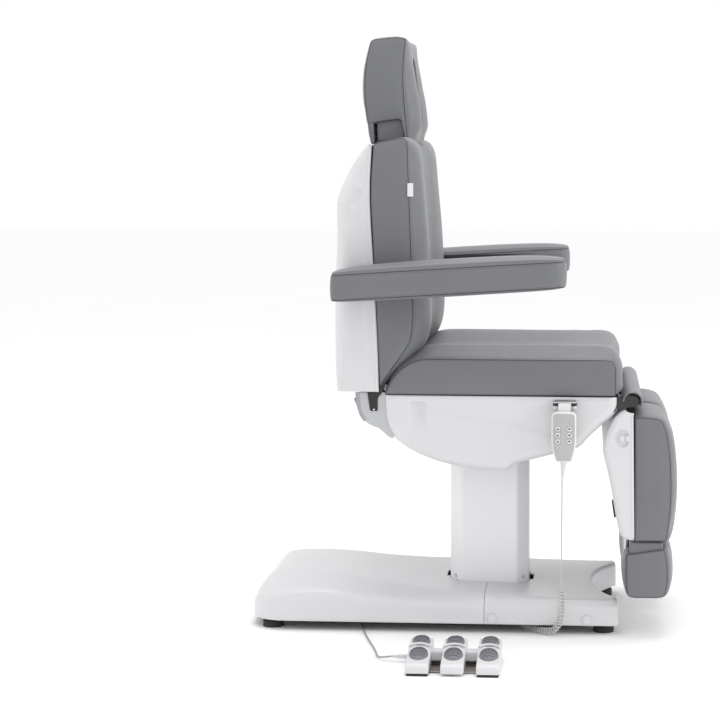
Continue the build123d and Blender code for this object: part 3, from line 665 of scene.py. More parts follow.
def pad(name, outline, corners, low, high, crown, weight, caps, step=15.0, place=upright, travel=4.0):
    """An upholstered block: two panels joined by a band along a sunken seam.

    outline is the seam, anticlockwise; corners are four points near it; low and high are its two
    planes; crown is how the band swells with the distance from a seam, times weight at each point
    of the outline; caps is how far each panel bulges; travel limits what the cloth adds."""
    dense = even_loop(np.asarray(outline, float), 1600)
    found = [int(np.argmin(np.linalg.norm(dense - np.array(corner), axis=1))) for corner in corners]
    dense = np.roll(dense, -found[0], axis=0)
    cuts = [(k - found[0]) % len(dense) for k in found] + [len(dense)]
    dense = np.vstack([dense, dense[:1]])
    sides = [dense[a:b + 1] for a, b in zip(cuts, cuts[1:])]
    lengths = [distances(side)[-1] for side in sides]
    share_n = marks((lengths[0] + lengths[2]) / 2, step) / ((lengths[0] + lengths[2]) / 2)
    share_m = marks((lengths[1] + lengths[3]) / 2, step) / ((lengths[1] + lengths[3]) / 2)
    n, m = len(share_n), len(share_m)
    runs = [take(side, share * length) for side, share, length in
            zip(sides, (share_n, share_m, share_n, share_m), lengths)]
    loop = np.vstack([run[:-1] for run in runs])
    count = len(loop)
    normals = outward(loop)
    amount = weight(loop, normals)

    width = high - low
    rows = marks(width, max(12.0, step), (4.0, 9.0, 16.0, 26.0))
    points = []
    for row in rows:
        near = min(row, width - row)
        swell = amount * through(crown, np.array([near]))[0]
        sunk = SEAM_GROOVE if near == 0 else 0.0
        ring = loop + normals * (swell - sunk)[:, None]
        edge = 1.0 if row == 0 else (-1.0 if row == width else 0.0)
        points.append(place(ring[:, 0], ring[:, 1], np.full(count, low + row + edge)))
    faces = grid_faces(len(rows), count, wrap=True)
    held = set(range(count)) | set(range((len(rows) - 1) * count, len(rows) * count))
    for k, strength in enumerate(amount):
        if strength < 0.02:
            held |= {k + r * count for r in range(len(rows))}

    u, v = share_n[:, None, None], share_m[None, :, None]
    bottom, right, top, left = runs[0][:, None], runs[1][None], runs[2][::-1][:, None], runs[3][::-1][None]
    patch = ((1 - v) * bottom + v * top + (1 - u) * left + u * right
             - (1 - u) * (1 - v) * bottom[0] - u * (1 - v) * bottom[-1]
             - (1 - u) * v * top[0] - u * v * top[-1])
    pillow = (16 * u * (1 - u) * v * (1 - v))[..., 0] ** 0.3
    rings = {}
    used = len(rows) * count
    for end, (level, out, bulge) in enumerate(((low, -1, caps[0]), (high, 1, caps[1]))):
        first_row = 0 if end == 0 else (len(rows) - 1) * count
        index = np.zeros((n, m), int)
        index[0] = first_row + (count - np.arange(m)) % count
        index[-1] = first_row + n - 1 + np.arange(m)
        index[:, 0] = first_row + np.arange(n)
        index[:, -1] = first_row + 2 * (n - 1) + m - 1 - np.arange(n)
        inner = patch[1:-1, 1:-1].reshape(-1, 2)
        index[1:-1, 1:-1] = used + np.arange(len(inner)).reshape(n - 2, m - 2)
        points.append(place(inner[:, 0], inner[:, 1], level + out * bulge * pillow[1:-1, 1:-1].ravel()))
        used += len(inner)
        panel = np.stack([index[:-1, :-1], index[1:, :-1], index[1:, 1:], index[:-1, 1:]], axis=-1)
        faces += panel.reshape(-1, 4).tolist()
        rings[f"panel_{end}"] = [*index[1:-1, 1], *index[-2, 2:-1], *index[1:-2, -2][::-1],
                                 *index[1, 2:-2][::-1]]
        row = 1 if end == 0 else len(rows) - 2
        rings[f"band_{end}"] = [row * count + k for k in range(count)]
        rings[f"seam_{end}"] = [first_row + k for k in range(count)]
    faces = [tuple(int(k) for k in face) for face in faces]
    made = make_mesh(name, np.vstack(points), faces, UPHOLSTERY, clean=False)
    PADS.append({"piece": made, "held": sorted(int(k) for k in held), "rings": rings, "travel": travel})
    return PADS[-1]


def inflate_pads():
    """Cloth simulation of all the pads at once: the seams are held and the panels blow out."""
    scene = bpy.context.scene
    frames = 14
    before = {}
    for row in PADS:
        made = row["piece"]
        group = made.vertex_groups.new(name="held")
        group.add(row["held"], 1.0, "REPLACE")
        before[made.name] = vertices(made.data)
        modifier = made.modifiers.new("cloth", "CLOTH")
        cloth = modifier.settings
        cloth.quality = 4
        cloth.mass = 0.25
        cloth.tension_stiffness = cloth.compression_stiffness = 12.0
        cloth.shear_stiffness = 4.0
        cloth.bending_stiffness = 0.4
        cloth.use_pressure = True
        cloth.uniform_pressure_force = 4.0
        cloth.vertex_group_mass = "held"
        cloth.effector_weights.gravity = 0.0
        modifier.collision_settings.use_collision = False
        modifier.point_cache.frame_start = 1
        modifier.point_cache.frame_end = frames
    scene.frame_start, scene.frame_end = 1, frames
    for frame_number in range(1, frames + 1):
        scene.frame_set(frame_number)
    graph = bpy.context.evaluated_depsgraph_get()
    for row in PADS:
        made = row["piece"]
        shift = vertices(made.evaluated_get(graph).data) - before[made.name]
        size = np.linalg.norm(shift, axis=1)
        cap = row["travel"] / 1000
        shift *= (cap * np.tanh(size / cap) / np.maximum(size, 1e-9))[:, None]
        row["settled"] = before[made.name] + shift
    for row in PADS:
        made = row["piece"]
        made.modifiers.clear()
        made.vertex_groups.clear()
        made.data.vertices.foreach_set("co", row["settled"].astype(np.float32).ravel())
        made.data.update()
    scene.frame_set(1)


def smooth_pads():
    """One level of subdivision on every pad."""
    for row in PADS:
        modifier = row["piece"].modifiers.new("smooth", "SUBSURF")
        modifier.levels = modifier.render_levels = 1
        finish_modifiers(row["piece"], sharp=50)


def stitches(name, rows):
    """Thread laid in short stitches along rows of (places, outward directions), in metres."""
    points, faces = [], []
    for places, normals in rows:
        places = np.vstack([places, places[:1]])
        normals = np.vstack([normals, normals[:1]])
        along = distances(places)
        middles = np.arange(STITCH_PITCH / 2000, along[-1], STITCH_PITCH / 1000)
        centre = take(places, middles)
        up = np.column_stack([np.interp(middles, along, normals[:, k]) for k in range(3)])
        ahead = take(places, np.minimum(middles + 0.002, along[-1])) - take(places, middles - 0.002)
        ahead /= np.maximum(np.linalg.norm(ahead, axis=1), 1e-9)[:, None]
        up /= np.maximum(np.linalg.norm(up, axis=1), 1e-9)[:, None]
        side = np.cross(ahead, up)
        radius, half = STITCH_RADIUS / 1000, STITCH_LENGTH / 2000
        middle = centre + up * radius * 0.35
        corners = [middle - ahead * half - up * radius, middle + side * radius, middle + up * radius,
                   middle - side * radius, middle - up * radius, middle + ahead * half - up * radius]
        stack = np.stack(corners, axis=1).reshape(-1, 3)
        start = sum(len(p) for p in points)
        points.append(stack)
        for k in range(len(middles)):
            b = start + 6 * k
            for i in range(4):
                j = (i + 1) % 4
                faces += [(b, b + 1 + i, b + 1 + j), (b + 5, b + 1 + j, b + 1 + i)]
    return make_mesh(name, millimetres(np.vstack(points)), faces, THREAD, sharp=80)


def sew(row, *rings):
    """Dark tubes in the seams of one finished pad, a painted shadow of each seam groove, and topstitching
    beside them; they go with the pad.
    """
    made = row["piece"]
    mesh = made.data
    seam_shadow_tubes = []
    for end in (0, 1):
        line = millimetres(vertices(mesh)[row["rings"][f"seam_{end}"]])
        line = np.vstack([line, line[:1]])
        seam_shadow_tubes.append(tube("seam_shadow_tube", even(line, 4 * len(line)), SEAM_SHADOW_RADIUS, SEAM_SHADOW, count=8))
    fix(join(f"{made.name}_welts", seam_shadow_tubes), made["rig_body"], "upholstery")
    normals = np.array([v.normal for v in mesh.vertices])
    lines = [(vertices(mesh)[row["rings"][ring]], normals[row["rings"][ring]]) for ring in rings]
    fix(stitches(f"{made.name}_stitching", lines), made["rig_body"], "upholstery")


SEAT_HALF = 302.0
SEAT_CROWN = [(0, 0), (9, 9), (26, 19), (62, 27), (110, 25), (180, 17), (250, 9), (303, 6)]
BACK_CROWN = [(0, 0), (9, 12), (26, 25), (60, 35), (100, 36), (150, 30), (210, 14), (270, 6), (303, 4)]


def facing(normals):
    """How much each normal points to the foot end, to the head end, up and down."""
    return [unit(part) for part in (normals[:, 0], -normals[:, 0], normals[:, 1], -normals[:, 1])]


def seat_weight(loop, normals):
    """The board under the seat stays flat, and the rear swells little where it meets the back."""
    front, rear, up, _ = facing(normals)
    swell = np.maximum(up ** 0.7 * (1 - 0.6 * rear), 0.8 * front * (loop[:, 1] > 640))
    return unit(np.maximum(swell, 0.25 * rear)) * (loop[:, 1] > 638)


def seat_pad():
    outline = rounded([(-262, 635), (-241, 681), (-207, 715), (-160, 730), (339, 730), (339, 635)],
                      [4, 40, 40, 40, 26, 8])[::-1]
    corners = [(-262, 635), (339, 635), (339, 730), (-168, 730)]
    return pad("seat_upholstery", outline, corners, -SEAT_HALF, SEAT_HALF, SEAT_CROWN, seat_weight,
               (3.0, 3.0))


def back_weight(loop, normals):
    front, _, top, low = facing(normals)
    face = np.maximum(np.maximum(front ** 0.8, top * 0.05), low * 0.3)
    lean = through([(640, 0.35), (760, 1.0), (985, 1.0), (1192, 0.75), (1275, 0.6), (1300, 0.3)], loop[:, 1])
    board = np.where((normals[:, 0] < -0.7) & (loop[:, 0] < -262), 0.0, 1.0)
    return face * lean * board


def back_pad():
    edge = [(-274, 655), (-222, 728), (-192, 771), (-184, 830), (-189, 984), (-196, 1192), (-199, 1294),
            (-212, 1304), (-288, 1288), (-298, 1166), (-288, 976)]
    outline = rounded(edge, [6, 60, 50, 60, 100, 80, 8, 12, 14, 90, 90])
    corners = [(-274, 655), (-188, 775), (-204, 1301), (-289, 1287)]
    return pad("back_upholstery", outline, corners, -SEAT_HALF, SEAT_HALF, BACK_CROWN, back_weight,
               (3.0, 3.0))


def head_weight(loop, normals):
    swell = through([(1285, 0.6), (1345, 1.1), (1400, 1.06), (1436, 0.9), (1475, 0.7), (1520, 0.34),
                     (1545, 0.14), (1570, 0.0)], loop[:, 1])
    front, back, top, low = facing(normals)
    front = front ** 0.7 * swell * (loop[:, 0] > -232)
    back = back * 0.2 * (loop[:, 0] < -290)
    low = low * (loop[:, 1] < 1300) * 0.3
    return np.maximum(np.maximum(front, back), np.maximum(top * 0.1, low))


HEAD_CROWN = [(0, 0), (9, 14), (20, 23), (34, 29), (55, 31), (85, 27), (120, 20), (150, 19)]
HEAD_HALF = 148.0
HOLE_CENTRE, HOLE_HALF, HOLE_RADIUS = 1428.0, 93.0, 30.0
HOLE_FLARES = [(-360, 14), (-337, 10), (-328, 3), (-318, 0), (-222, 0), (-204, 3), (-190, 9), (-130, 30)]


def head_pad():
    outline = rounded([(-321, 1339), (-229, 1354), (-224, 1300), (-220, 1286), (-211, 1288), (-218, 1345),
                       (-226, 1430), (-225, 1505), (-217, 1566), (-240, 1571), (-311, 1565), (-326, 1505),
                       (-331, 1455), (-330, 1400)], [8, 3, 6, 3, 3, 60, 100, 100, 5, 20, 12, 60, 60, 60])
    row = pad("headrest_upholstery", outline, [(-321, 1339), (-214, 1287), (-218, 1566), (-313, 1564)],
              -HEAD_HALF, HEAD_HALF, HEAD_CROWN, head_weight, (2.5, 2.5), step=11.0)
    sheet = rounded([(-323, 1352), (-318, 1310), (-312, 1286), (-304, 1288), (-306, 1352)], [4, 30, 4, 4, 4])
    flap = slab("headrest_flap", sheet, "y", -HEAD_HALF, HEAD_HALF, UPHOLSTERY, edge=4.0)
    filling = rounded([(-299, 1362), (-296, 1293), (-222, 1303), (-222, 1362)], [4, 6, 4, 4])
    neck = slab("headrest_neck", filling, "y", -HEAD_HALF + 10, HEAD_HALF - 10, UPHOLSTERY, edge=5.0)
    cut_away(neck, breathing_hole(), block((-310, -282), (-88, 88), (1284, 1318)))
    slots = [block((-335, -300), across, (1276, 1332)) for across in ((51, 69), (-69, -51))]
    cut_away(flap, *slots, block((-309, -300), (-84, 84), (1284, 1316)))
    for piece in (flap, neck):
        fix(piece, "headrest", "upholstery")
    return row


def breathing_hole():
    """Cutter for the face hole: a slot whose rims flare where it meets the cover."""
    turns = full_turn(64)
    straight = HOLE_HALF - HOLE_RADIUS
    rings = []
    for x, flare in HOLE_FLARES:
        r = HOLE_RADIUS + flare
        y = r * np.sin(turns)
        z = HOLE_CENTRE + r * np.cos(turns) + np.sign(np.cos(turns)) * straight
        rings.append(np.column_stack([np.full(64, float(x)), y, z]))
    return make_mesh("hole_cutter", np.vstack(rings), capped(len(rings), 64), UPHOLSTERY)


ARM_BOX = node_box("armrest_pad_right")
ARM_SLOPE = 0.0619
ARM_INNER, ARM_OUTER = 322.5, 428.5


def arm_height(x):
    return ARM_BOX[0][2] + ARM_SLOPE * (x - ARM_BOX[0][0])


def arm_pad(side, sign):
    def place(a, b, c):
        return np.column_stack([a, b, arm_height(a) + c])

    low, high = sorted((sign * ARM_INNER, sign * ARM_OUTER))
    rear, front = ARM_BOX[0][0] + 2, ARM_BOX[1][0] - 2
    outline = rounded([(rear, low), (front, low), (front, high), (rear, high)], [30, 62, 62, 30])
    corners = [(rear, low), (front - 8, low), (front - 8, high), (rear, high)]
    return pad(f"armrest_upholstery_{side}", outline, corners, 5.0, 70.0,
               [(0, 0), (12, 1.5), (34, 2.5)], lambda loop, normals: np.ones(len(loop)), (5.0, 20.0),
               step=16.0, place=place, travel=3.0)


LEG_BOX = node_box("leg_cushion_right")
FOOT_BOX = node_box("footpad_cushion_right")


def across_bed(box, sign):
    """From a right-hand box, the y range of the same thing on either side."""
    return sorted((-sign * box[1][1], -sign * box[0][1]))


def front_weight(_, normals):
    front, board, _, _ = facing(normals)
    return np.maximum(front, np.abs(normals[:, 1]) * 0.3) * (board < 0.9)


def leg_pad(side, sign):
    low, high = across_bed(LEG_BOX, sign)
    outline = rounded([(387, 259), (471, 259), (481, 330), (484, 400), (481, 470), (473, 535), (456, 582),
                       (387, 582)], [4, 8, 90, 90, 90, 60, 26, 4])
    crown = [(0, 0), (9, 6), (26, 11), (70, 14), (146, 15)]
    return pad(f"leg_upholstery_{side}", outline, [(387, 259), (471, 261), (462, 574), (387, 582)],
               low + 3, high - 3, crown, front_weight, (3.0, 3.0))


def foot_pad(side, sign):
    low, high = across_bed(FOOT_BOX, sign)
    outline = rounded([(369, 111), (466, 111), (475, 150), (474, 205), (466, 241), (366, 225), (365, 160)],
                      [20, 22, 40, 40, 7, 6, 60])

    def weight(_, normals):
        front, back, _, low_side = facing(normals)
        return np.maximum(front, np.maximum(0.35 * back, 0.3 * low_side))

    crown = [(0, 0), (9, 6), (26, 10), (70, 14), (146, 15)]
    return pad(f"footpad_upholstery_{side}", outline, [(371, 113), (467, 114), (467, 238), (366, 226)],
               low + 3, high - 3, crown, weight, (3.0, 3.0), step=13.0)


def foot_neck(side, sign):
    low, high = across_bed(FOOT_BOX, sign)
    outline = rounded([(376, 212), (464, 212), (462, 257), (376, 257)], [5, 5, 9, 9])
    neck = slab(f"footpad_neck_{side}", outline, "y", low + 9, high - 9, UPHOLSTERY, edge=7.0, count=64)
    fix(neck, f"footpad_{side}", "upholstery")


LEG_RODS = (100.0, 215.0)
ROLL_HALF, ROLL_OUTER, ROLL_INNER = 298.0, 26.5, 21.5


def knee_roll():
    """Padded half-round cover over the leg hinge, open at its ends."""
    centre = pivot("leg_right_lift")
    turns = np.radians(np.linspace(-34, 178, 34))
    middle = np.linspace(-ROLL_HALF + 12, ROLL_HALF - 12, 40)
    levels = [(-ROLL_HALF, -2.2), (-ROLL_HALF + 3, 0.0)] + [(y, 0.0) for y in middle]
    levels += [(ROLL_HALF - 3, 0.0), (ROLL_HALF, -2.2)]
    rows = []
    for y, inset in levels:
        ring = []
        for radius, angles in ((ROLL_OUTER + inset, turns), (ROLL_INNER - inset, turns[::-1])):
            ring += [(centre[0] + radius * math.cos(a), y, centre[2] + radius * math.sin(a)) for a in angles]
        rows.append(ring)
    count = 2 * len(turns)
    faces = grid_faces(len(rows), count, wrap=True)
    for first in (0, (len(rows) - 1) * count):
        for k in range(len(turns) - 1):
            faces.append((first + k, first + k + 1, first + count - 2 - k, first + count - 1 - k))
    roll = make_mesh("knee_upholstery", np.vstack(rows), faces, UPHOLSTERY)
    arms = [y * sign for y in LEG_RODS for sign in (-1, 1)]
    cut_away(roll, *[block((396, 414), (y - 7.5, y + 7.5), (598, 624)) for y in arms])
    fix(roll, "seat", "upholstery", "knee_cover")


def make_upholstery():
    seat, back, head = seat_pad(), back_pad(), head_pad()
    bodies = [(seat, "seat", "seat_cushion"), (back, "backrest", "backrest_cushion"),
              (head, "headrest", "headrest_cushion")]
    for side, sign in BOTH_SIDES:
        bodies += [(arm_pad(side, sign), f"armrest_{side}", f"armrest_pad_{side}"),
                   (leg_pad(side, sign), f"leg_{side}", f"leg_cushion_{side}"),
                   (foot_pad(side, sign), f"footpad_{side}", f"footpad_cushion_{side}")]
    inflate_pads()
    smooth_pads()
    for row, body, node in bodies:
        fix(row["piece"], body, "upholstery", node)
        sew(row, "panel_0", "band_0", "panel_1", "band_1")
    cut_away(head["piece"], breathing_hole(), sharp=60)
    for side, sign in BOTH_SIDES:
        foot_neck(side, sign)
    knee_roll()


# ---- moulded shells --------------------------------------------------------------------------
def hull(name, profile, low, high, edge, wall, relief, count=150, mouth=None):
    """A moulded tub between two side walls.

    profile is the open line of its bottom or back, anticlockwise round the inside; mouth is the
    line of its opening, straight if it isn't given. edge rounds the walls into the bottom, as one
    radius or as (share of the profile, radius) pairs. relief gives how far each point stands out,
    from (x, y, z, distance from the mouth)."""
    line = even(profile, count)
    normals = outward(line, closed=False)
    share = np.linspace(0, 1, count)
    radius = through(edge, share) if isinstance(edge, list) else np.full(count, edge)
    inner = line - normals * radius[:, None]
    opening = even(inner[[0, -1]] if mouth is None else mouth, count)
    fall = np.linalg.norm(inner - opening, axis=1)
    wall_shares = np.concatenate([[0, 0.012, 0.023, 0.034, 0.047, 0.06], np.linspace(0.08, 1, 28)])
    arcs = np.linspace(0, math.pi / 2, 9)[1:]
    rows = []
    for end, y_wall, sign in ((0, low, 1), (1, high, -1)):
        side = []
        for t in wall_shares:
            side.append((opening + (inner - opening) * t, np.full(count, y_wall), (-sign, 0.0), fall * t))
        for angle in arcs:
            side.append((line - normals * (radius * (1 - math.sin(angle)))[:, None],
                         y_wall + sign * radius * (1 - math.cos(angle)),
                         (-sign * math.cos(angle), math.sin(angle)), fall + radius * angle))
        rows += side[::-1] if end else side
        if not end:
            for t in np.linspace(0, 1, 34)[1:-1]:
                across = low + radius + (high - low - 2 * radius) * t
                rows.append((line, across, (0.0, 1.0), fall + radius * 1.6))
    points = []
    for at, y, (across, out), depth in rows:
        direction = np.column_stack([normals[:, 0] * out, np.full(count, across), normals[:, 1] * out])
        place = np.column_stack([at[:, 0], y, at[:, 1]])
        stand = relief(place[:, 0], place[:, 1], place[:, 2], depth)
        points.append(place + direction * stand[:, None])
    made = make_mesh(name, np.vstack(points), grid_faces(len(rows), count), WHITE)
    return thicken(made, wall)


def block(x, y, z):
    corners = [(a, b, c) for a in x for b in y for c in z]
    faces = [(0, 1, 3, 2), (4, 6, 7, 5), (0, 4, 5, 1), (2, 3, 7, 6), (0, 2, 6, 4), (1, 5, 7, 3)]
    return make_mesh("cutter", corners, faces, WHITE)


def rim(depth, height=3.2, width=6.5):
    """A bevelled raised lip along a tub's mouth."""
    rise = through([(0, 0.0), (width * 0.7, 1.0), (width, 1.0), (width + 2.5, 0.0), (1000, 0.0)], depth)
    return height * rise


SHELL_HALF = node_box("seat_shell")[1][1]
SHELL_WALL, LEG_WALL = 3.5, 3.2
ARM_RECESS, ARM_RECESS_HALF, ARM_RECESS_TOP = -174.0, 24.0, 616.0
SEAT_LEDGE = [(-140, 590), (-51, 578), (89, 557), (170, 533), (260, 500)]


def seat_relief(x, y, z, depth):
    stand = rim(depth)
    on_side = unit((np.abs(y) - (SHELL_HALF - 12)) / 10)
    across = bump_at(x, ARM_RECESS, ARM_RECESS_HALF) ** 0.35 * (np.abs(x - ARM_RECESS) < ARM_RECESS_HALF)
    down = step_at(ARM_RECESS_TOP - z, 0, 6) * (1 - step_at(ARM_RECESS_TOP - z, 45, 70))
    stand -= on_side * across * down * 11.0
    ledge = through(SEAT_LEDGE, x)
    fade = step_at(x, -120, 90) * (1 - step_at(x, 215, 60))
    stand += on_side * fade * (1 - step_at(z - ledge, 0, 16)) * 2.4
    stand -= on_side * bump_at(z - ledge, 10, 34) * fade * 0.8
    return stand


def seat_tub():
    profile = rounded([(-268, 633), (-266, 590), (-250, 530), (-200, 491), (-128, 459), (-46, 442), (14, 437),
                       (60, 437), (78, 454), (110, 463), (175, 480), (246, 499), (266, 524), (304, 560),
                       (331, 580), (348, 606), (348, 633)],
                      [8, 30, 40, 40, 40, 40, 40, 14, 14, 30, 40, 20, 20, 30, 24, 20, 8], closed=False)
    shell = hull("seat_tub", profile, -SHELL_HALF, SHELL_HALF, 26.0, SHELL_WALL, seat_relief, count=170)
    slots = [block((318, 362), across, (594, 645)) for across in ((-292, -276), (276, 292), (-9, 9))]
    cut_away(shell, block((-152, 128), (-128, 128), (400, 560)), *slots,
             block((-276, -255), (-294, 294), (560, 645)))
    fix(shell, "seat", "white_cover", "seat_shell")


BACK_PROFILE = [(-302, 1285), (-316, 1271), (-348, 1231), (-376, 1176), (-389, 1135), (-392, 1110),
                (-388, 1082), (-388, 1032), (-391, 979), (-394, 875), (-394, 726), (-384, 628)]
BACK_MOUTH = rounded([(-292, 1284), (-299, 1166), (-294.5, 1060), (-288.5, 976), (-277.5, 744),
                      (-275.5, 638)], [4, 120, 120, 120, 60, 4], closed=False)
BOARD_HALF, BOARD_LOW_HALF, NECK_GAP = 298.6, 287.5, 92.0
DIMPLE_X, DIMPLE_Z = -333.0, 1146.0
SCOOP_X, SCOOP_Z = -372.0, 1102.0
SHAFT_X, SHAFT_Z, SHAFT_HOLE = -319.0, 942.0, 14.0


def back_relief(x, y, z, depth):
    on_side = unit((np.abs(y) - (SHELL_HALF - 14)) / 12)
    stand = rim(depth, 2.4, 5.0)
    stand -= 2.2 * step_at(-x, 314, 7) * on_side * (1 - 0.6 * step_at(-x, 345, 50)) * step_at(z, 740, 60)
    lean_x, lean_z = (x - DIMPLE_X) - 0.25 * (z - DIMPLE_Z), z - DIMPLE_Z
    dimple = unit(1 - (lean_x / 14) ** 2 - (lean_z / 26) ** 2)
    stand -= on_side * 4.5 * np.sqrt(dimple)
    scoop_x, scoop_z = (x - SCOOP_X) + 0.3 * (z - SCOOP_Z), z - SCOOP_Z
    scoop = unit(1 - (scoop_x / 24) ** 2 - (scoop_z / 36) ** 2)
    stand -= 6.0 * scoop ** 0.7 * step_at(np.abs(y), 255, 40)
    return stand


def back_cover():
    profile = rounded(BACK_PROFILE, [6, 16, 60, 80, 50, 16, 16, 40, 80, 80, 80, 4], closed=False)
    edge = [(0, 10), (0.06, 24), (0.14, 44), (0.8, 44), (1, 14)]
    shell = hull("backrest_cover", profile, -SHELL_HALF, SHELL_HALF, edge, SHELL_WALL, back_relief,
                 count=190, mouth=BACK_MOUTH)
    cut_away(shell, block((-420, -200), (-330, 330), (600, 643)),
             block((-338, -250), (-HEAD_HALF - 5, HEAD_HALF + 5), (1262, 1320)),
             round_bar("shaft_hole", (SHAFT_X, -320, SHAFT_Z), (SHAFT_X, 320, SHAFT_Z), SHAFT_HOLE, WHITE),
             solver="MANIFOLD")
    fix(shell, "backrest", "white_cover", "backrest_shell")
    back_board_and_gap_shade()


def back_board_and_gap_shade():
    """The black board behind the backrest cushion, in four parts round the headrest's neck; its black in the
    gap between shell rim and cushion is also painted shadow of that gap.
    """
    line = even(BACK_MOUTH, 120)
    boards = []
    for low_z, high_z, low, high in ((655, 745, -BOARD_LOW_HALF, BOARD_LOW_HALF),
                                     (735, 1212, -BOARD_HALF, BOARD_HALF),
                                     (1212, 1283, -BOARD_HALF, -NECK_GAP),
                                     (1212, 1283, NECK_GAP, BOARD_HALF)):
        part = line[(line[:, 1] >= low_z) & (line[:, 1] <= high_z)]
        outline = np.vstack([part + (-6.0, 0), part[::-1] + (1.5, 0)])
        # The board's black edge in the shell-to-cushion gap is painted shadow of the gap.
        boards.append(slab("board", outline, "y", low, high, DARK, edge=0.5, count=120))
    fix(join("backrest_board_gap_shade", boards), "backrest", "dark_plastic")


LEG_SHELL = node_box("leg_shell_right")
LEG_RING_X, LEG_RING_Z = 355.0, 527.0
KNEE_HOLE, ROD_HOLE = 29.0, 10.5


def leg_relief(x, y, z, depth):
    outer = unit((np.abs(y) - 292) / 8)
    stand = rim(depth, 1.8, 5.0)
    px, pz = x - LEG_RING_X, z - LEG_RING_Z
    far = np.sqrt((px / 0.8) ** 2 + pz ** 2)
    ring = unit(1 - ((far - 16) / 8) ** 2) * (1 - step_at(px, 8, 5) * (np.abs(pz) < 9))
    stand -= outer * 7.0 * np.sqrt(ring)
    return stand


def leg_cover(side, sign):
    profile = rounded([(386, 600), (367, 603), (350, 595), (332, 575), (316, 542), (306, 510), (306, 488),
                       (322, 424), (331, 378), (343, 304), (352, 272), (366, 262), (386, 260)],
                      [4, 14, 18, 24, 40, 14, 14, 40, 40, 40, 14, 10, 4], closed=False)
    low, high = across_bed(LEG_SHELL, sign)
    shell = hull(f"leg_cover_{side}", profile, low, high, 14.0, LEG_WALL, leg_relief, count=130)
    knee = pivot(f"leg_{side}_lift")
    cutters = [round_bar("knee_hole", (knee[0], -310, knee[2]), (knee[0], 310, knee[2]), KNEE_HOLE, WHITE,
                         count=48)]
    for y in LEG_RODS:
        cutters.append(round_bar("rod_hole", (368, sign * y, 240), (368, sign * y, 285), ROD_HOLE, WHITE))
    cutters.append(block((326, 356), (sign * 155 - 9, sign * 155 + 9), (314, 352)))
    cut_away(shell, *cutters)
    fix(shell, f"leg_{side}", "white_cover", f"leg_shell_{side}")


# ---- base ------------------------------------------------------------------------------------
BASE_REAR = node_box("base_rear_cover")[0][0]
BASE_FRONT = node_box("base_front_cover")[1][0]
BASE_HALF = node_box("base_rear_cover")[1][1]
SKIRT = 25.0
BASE_NET = 11.0
BASE_SPLIT, SPLIT_GAP = -4.0, 0.6
PLUG_RADIUS, PLUG_HEIGHT = 12.5, 40.0
TOE_CENTRE, TOE_RADIUS = 633.0, 352.0


def base_plan():
    """The base's outline: rounded head end and two toes round a concave arc."""
    reach = math.sqrt(TOE_RADIUS ** 2 - (TOE_CENTRE - BASE_FRONT) ** 2)
    turn = math.atan2(reach, BASE_FRONT - TOE_CENTRE)
    arc = [(TOE_CENTRE + TOE_RADIUS * math.cos(a), TOE_RADIUS * math.sin(a))
           for a in np.linspace(-turn, -math.pi, 16)]
    arc += [(x, -y) for x, y in arc[-2::-1]]
    corners = [(BASE_REAR, -BASE_HALF), (BASE_FRONT, -BASE_HALF)] + arc
    corners += [(BASE_FRONT, BASE_HALF), (BASE_REAR, BASE_HALF)]
    radii = [105, 26] + [16] + [1] * (len(arc) - 2) + [16] + [26, 105]
    return rounded(corners, radii)


def base_height(x, y):
    """Height of the top: a dome at the head end that sweeps down into the flat front."""
    crown = through([(-631, 124), (-590, 132), (-520, 136), (-440, 134), (-250, 116), (-100, 104), (0, 99),
                     (349, 92)], x)
    edge = through([(-631, 66), (-590, 84), (-520, 100), (-450, 104), (-300, 92), (-150, 80), (-20, 75),
                    (60, 80), (349, 82)], x)
    shoulder = through([(-631, 60), (-560, 120), (-350, 140), (-200, 172), (-20, 222), (349, 236)], x)
    across = unit((np.abs(y) - shoulder) / np.maximum(BASE_HALF - shoulder, 1))
    along = unit((-560 - x) / 71)
    slope = across ** 1.5 * (1 - 0.25 * across) / 0.75
    top = crown - (crown - edge) * np.maximum(slope, along ** 2)
    hollow = bump_at(across, 0.0, 0.9) * bump_at(x, -180, 260) * 2.5
    return top - hollow


def base_surface():
    count = 300
    loop = even_loop(base_plan(), count)
    normals = outward(loop)
    points, rounding = [], 12.0
    heights = base_height(loop[:, 0], loop[:, 1])
    for inset, z in ((3.5, SKIRT), (0.6, SKIRT), (0.0, SKIRT + 1.2)):
        ring = loop - normals * inset
        points.append(np.column_stack([ring, np.full(count, z)]))
    for share in (0.2, 0.4, 0.6, 0.8):
        ring = loop - normals * 0.6 * share
        points.append(np.column_stack([ring, SKIRT + (heights - rounding - SKIRT) * share]))
    for angle in np.linspace(0, math.pi / 2, 8):
        ring = loop - normals * (0.6 + rounding * (1 - math.cos(angle)))
        target = base_height(ring[:, 0], ring[:, 1])
        z = heights - rounding + rounding * math.sin(angle)
        points.append(np.column_stack([ring, z + (target - heights) * (1 - math.cos(angle))]))
    faces = grid_faces(len(points), count, wrap=True)
    rings = len(points) * count
    inner = loop - normals * (0.6 + rounding)
    net = [(x, y) for x in np.arange(BASE_REAR, BASE_FRONT, BASE_NET)
           for y in np.arange(-BASE_HALF, BASE_HALF, BASE_NET)]
    net = np.array([place for place in net if np.min(np.hypot(*(loop - place).T)) > rounding + 7.0])
    flat = [Vector(place) for place in np.vstack([inner, net])]
    edges = [(k, (k + 1) % count) for k in range(count)]
    found, _, triangles, *_ = delaunay_2d_cdt(flat, edges, [], 1, 0.001)
    top = np.array([tuple(place) for place in found])
    points.append(np.column_stack([top, base_height(top[:, 0], top[:, 1])]))
    faces += [tuple(rings + k for k in triangle) for triangle in triangles]
    return make_mesh("base_surface", np.vstack(points), faces, WHITE)


